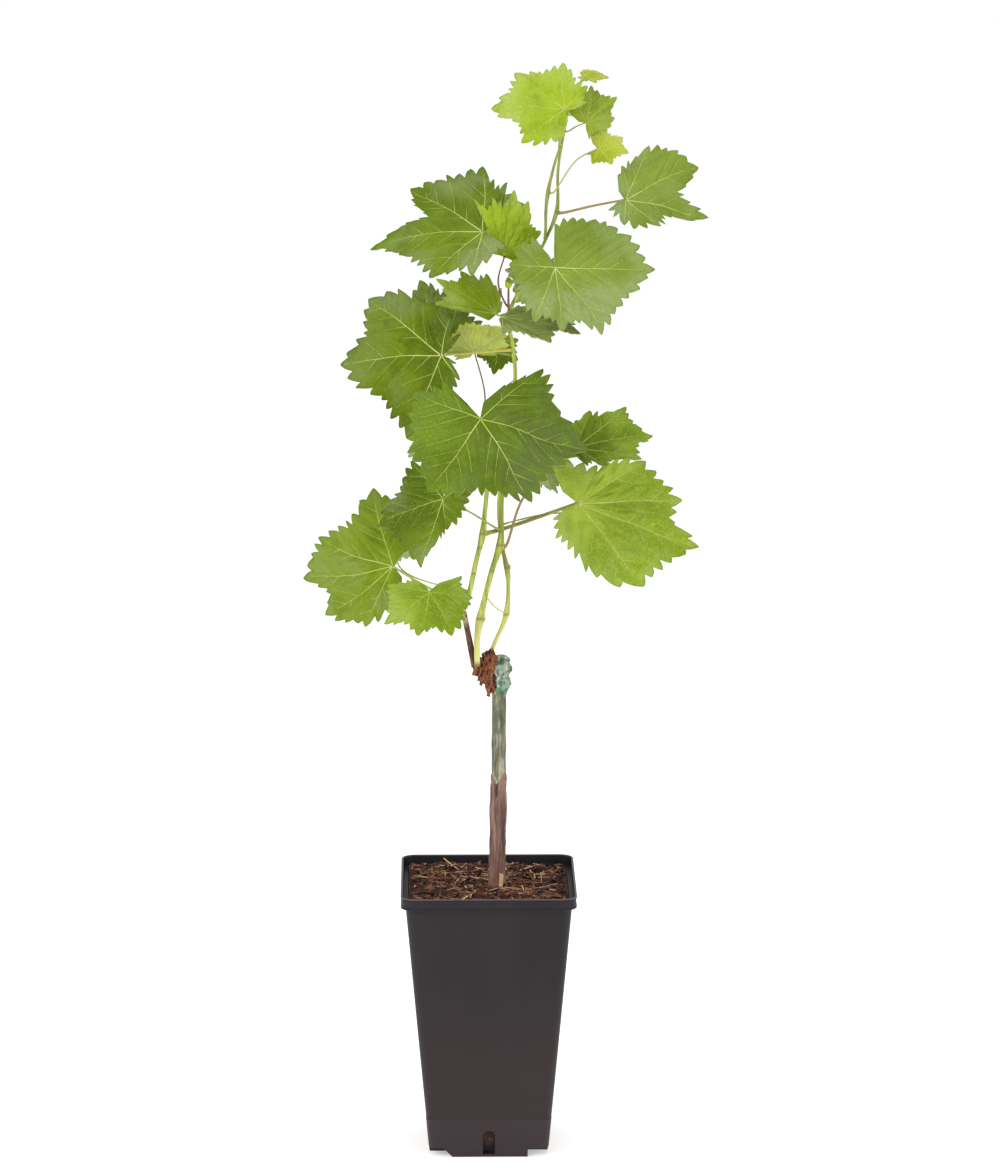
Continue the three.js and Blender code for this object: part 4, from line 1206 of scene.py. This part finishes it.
add_leaf("mid_hanging", "main", {"from": 608, "junction": (8, 24, 604), "face": (0, 10, -5),
         "veins": (16, 20, 24, 20, 16), "fan": (100, 50, 50, 100)}, looks("mid"))
add_leaf("high_centre", "main", {"from": 663, "painted_light_side": 20, "junction": (48, -50, 670),
         "face": (5, 25, 4), "veins": (32, 43, 48, 61, 67), "fan": (99, 26, 31, 83),
         "ears": ((52, 0.86), (88, 0.52)), "cut": (-0.1, 0.05, 0.08, 0.12, 0.12, -0.08)}, looks("grey"))
add_leaf("high_left", "main", {"from": 669, "sheen": 0.15, "painted_light_side": 100, "junction": (-4, -15, 691),
         "face": (-10, 45, -88), "veins": (60, 76, 84, 50, 37), "fan": (85, 38, 46, 84),
         "bends": (10, 10, 20, 20, 10), "ears": ((22, 0.8), (60, 0.7)),
         "cut": (0.12, 0.12, 0.38, 0.14, 0.08, 0.12), "bow": (12, -6, 672)}, looks("two_tone"))
add_leaf("high_bright", "main", {"from": 633, "sheen": -0.3, "painted_light_side": 35, "junction": (12, -12, 673),
         "face": (12, 3, 174), "veins": (33, 43, 47, 43, 47), "fan": (50, 20, 20, 34),
         "bends": (10, 10, 10, 0, -10), "ears": ((30, 0.7), (4, 0.55)), "bow": (7.5, -4, 652)},
         looks("fresh", stalk="purple"))
add_leaf("high_right", "main", {"from": 703, "sheen": 0.3, "painted_light_side": 170, "junction": (100, -5, 713),
         "face": (10, 10, 77), "veins": (18, 33, 66, 63, 42), "fan": (80, 27, 37, 78),
         "bends": (10, 20, 10, 10, 10), "ears": ((60, 0.8), (44, 0.5)),
         "cut": (0, 0, 0.3, 0.28, 0, 0.1), "bow": (76, -2, 708)}, looks("grey", stalk="pink"))
add_leaf("top_young", "lateral", {"from": 718, "junction": (80, -10, 751), "face": (0, 50, 80),
         "veins": (16, 17, 22, 21, 21), "fan": (100, 45, 45, 95), "bow": (64, -8, 742)},
         looks("young", "young"))
add_leaf("top_left", "lateral", {"from": 753, "painted_light_side": 10, "junction": (55, -25, 781),
         "face": (-10, 25, -127), "veins": (24, 36, 48, 54, 40), "fan": (95, 45, 36, 78),
         "ears": ((30, 0.7), (48, 0.62)), "cut": (0.05, 0.15, 0.1, 0.1, 0.15, 0.05)},
         looks("fresh", "young"))
add_leaf("top_right", "main", {"from": 762, "junction": (72, 5, 768), "face": (10, 15, 128),
         "veins": (18, 22, 30, 28, 24), "fan": (95, 30, 40, 80)},
         looks("bright", "young"))
add_leaf("tip", "main", {"from": 784, "junction": (70, 8, 802), "face": (0, 70, 85),
         "veins": (10, 14, 18, 14, 10), "fan": (100, 50, 50, 100)},
         looks("young", "young"))

# back of the plant, from the bottom up
REAR_FAN = (105, 52, 52, 105)
add_leaf("rear_low_left", "left", {"from": 422, "junction": (-68, 40, 466), "face": (165, 25, 20),
         "veins": (32, 38, 42, 38, 32), "fan": REAR_FAN, "bow": (-64, 10, 437)}, looks("mid"))
add_leaf("rear_low_right", "main", {"from": 472, "junction": (88, 38, 474), "face": (200, 20, -30),
         "veins": (32, 40, 44, 40, 32), "fan": REAR_FAN, "bow": (45, 26, 475)}, looks("mid"))
add_leaf("rear_low", "thin", {"from": 520, "junction": (33, 32, 521), "face": (150, 20, -25),
         "veins": (26, 32, 36, 32, 26), "fan": REAR_FAN}, looks("pale"))
add_leaf("rear_centre", "thin", {"from": 526, "junction": (-26, 55, 533), "face": (195, 30, 5),
         "veins": (32, 38, 42, 38, 32), "fan": REAR_FAN, "bow": (0, 36, 534)}, looks("deep"))
add_leaf("rear_left", "main", {"from": 598, "junction": (-31, 24, 602), "face": (-12, 20, -152),
         "veins": (34, 44, 54, 48, 40), "fan": (85, 45, 45, 90)}, looks("deep"))
add_leaf("rear_right", "main", {"from": 640, "junction": (42, 32, 655), "face": (165, 25, -10),
         "veins": (30, 36, 40, 36, 30), "fan": REAR_FAN}, looks("deep"))
add_leaf("rear_high_left", "main", {"from": 677, "junction": (0, 48, 704), "face": (190, 30, 15),
         "veins": (28, 34, 38, 34, 28), "fan": REAR_FAN, "bow": (28, 26, 688)}, looks("mid"))
add_leaf("rear_top", "main", {"from": 745, "junction": (52, 34, 782), "face": (185, 35, 0),
         "veins": (18, 22, 25, 22, 18), "fan": REAR_FAN}, looks("fresh", "young"))

# ---- tendril and side bud ----
# A short thread between two shoots low down, and a fat green bud on a reddish stalk at a node.
TENDRIL_PATH = [(0, -6, 417.5), (4, -6, 412.5), (8, -2, 408.5), (11.2, 3.4, 405.5)]
BUD_PATH = [(15.5, 0, 628), (15, -3.5, 637), (15, -4, 649)]

tendril_builder = bmesh.new()
limb(tendril_builder, Curve(TENDRIL_PATH), even_taper(0.6, 0.4), 10, 24)
tendril = add_object("tendril_thread", tendril_builder, [green_bark])
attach(tendril, "root")
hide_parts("tendril")

bud_green = Finish("bud_green", Roughness=0.5)
bud_tint = bud_green.noise(300).between(0.4, 0.6)
bud_green.feed(Base_Color=bud_green.mix(bud_tint, "#8a9a1e", "#c6cf4a"))
bud_builder = bmesh.new()
limb(bud_builder, Curve(BUD_PATH), even_taper(1.0, 0.7), 12, 20, None, 0)
lump(bud_builder, (15, -4, 652), (2.6, 2.6, 4.0), 0.25, 2, 1)
side_bud = add_object("side_bud_stalk", bud_builder, [STALKS["purple"], bud_green])
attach(side_bud, "root")
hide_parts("side_bud")
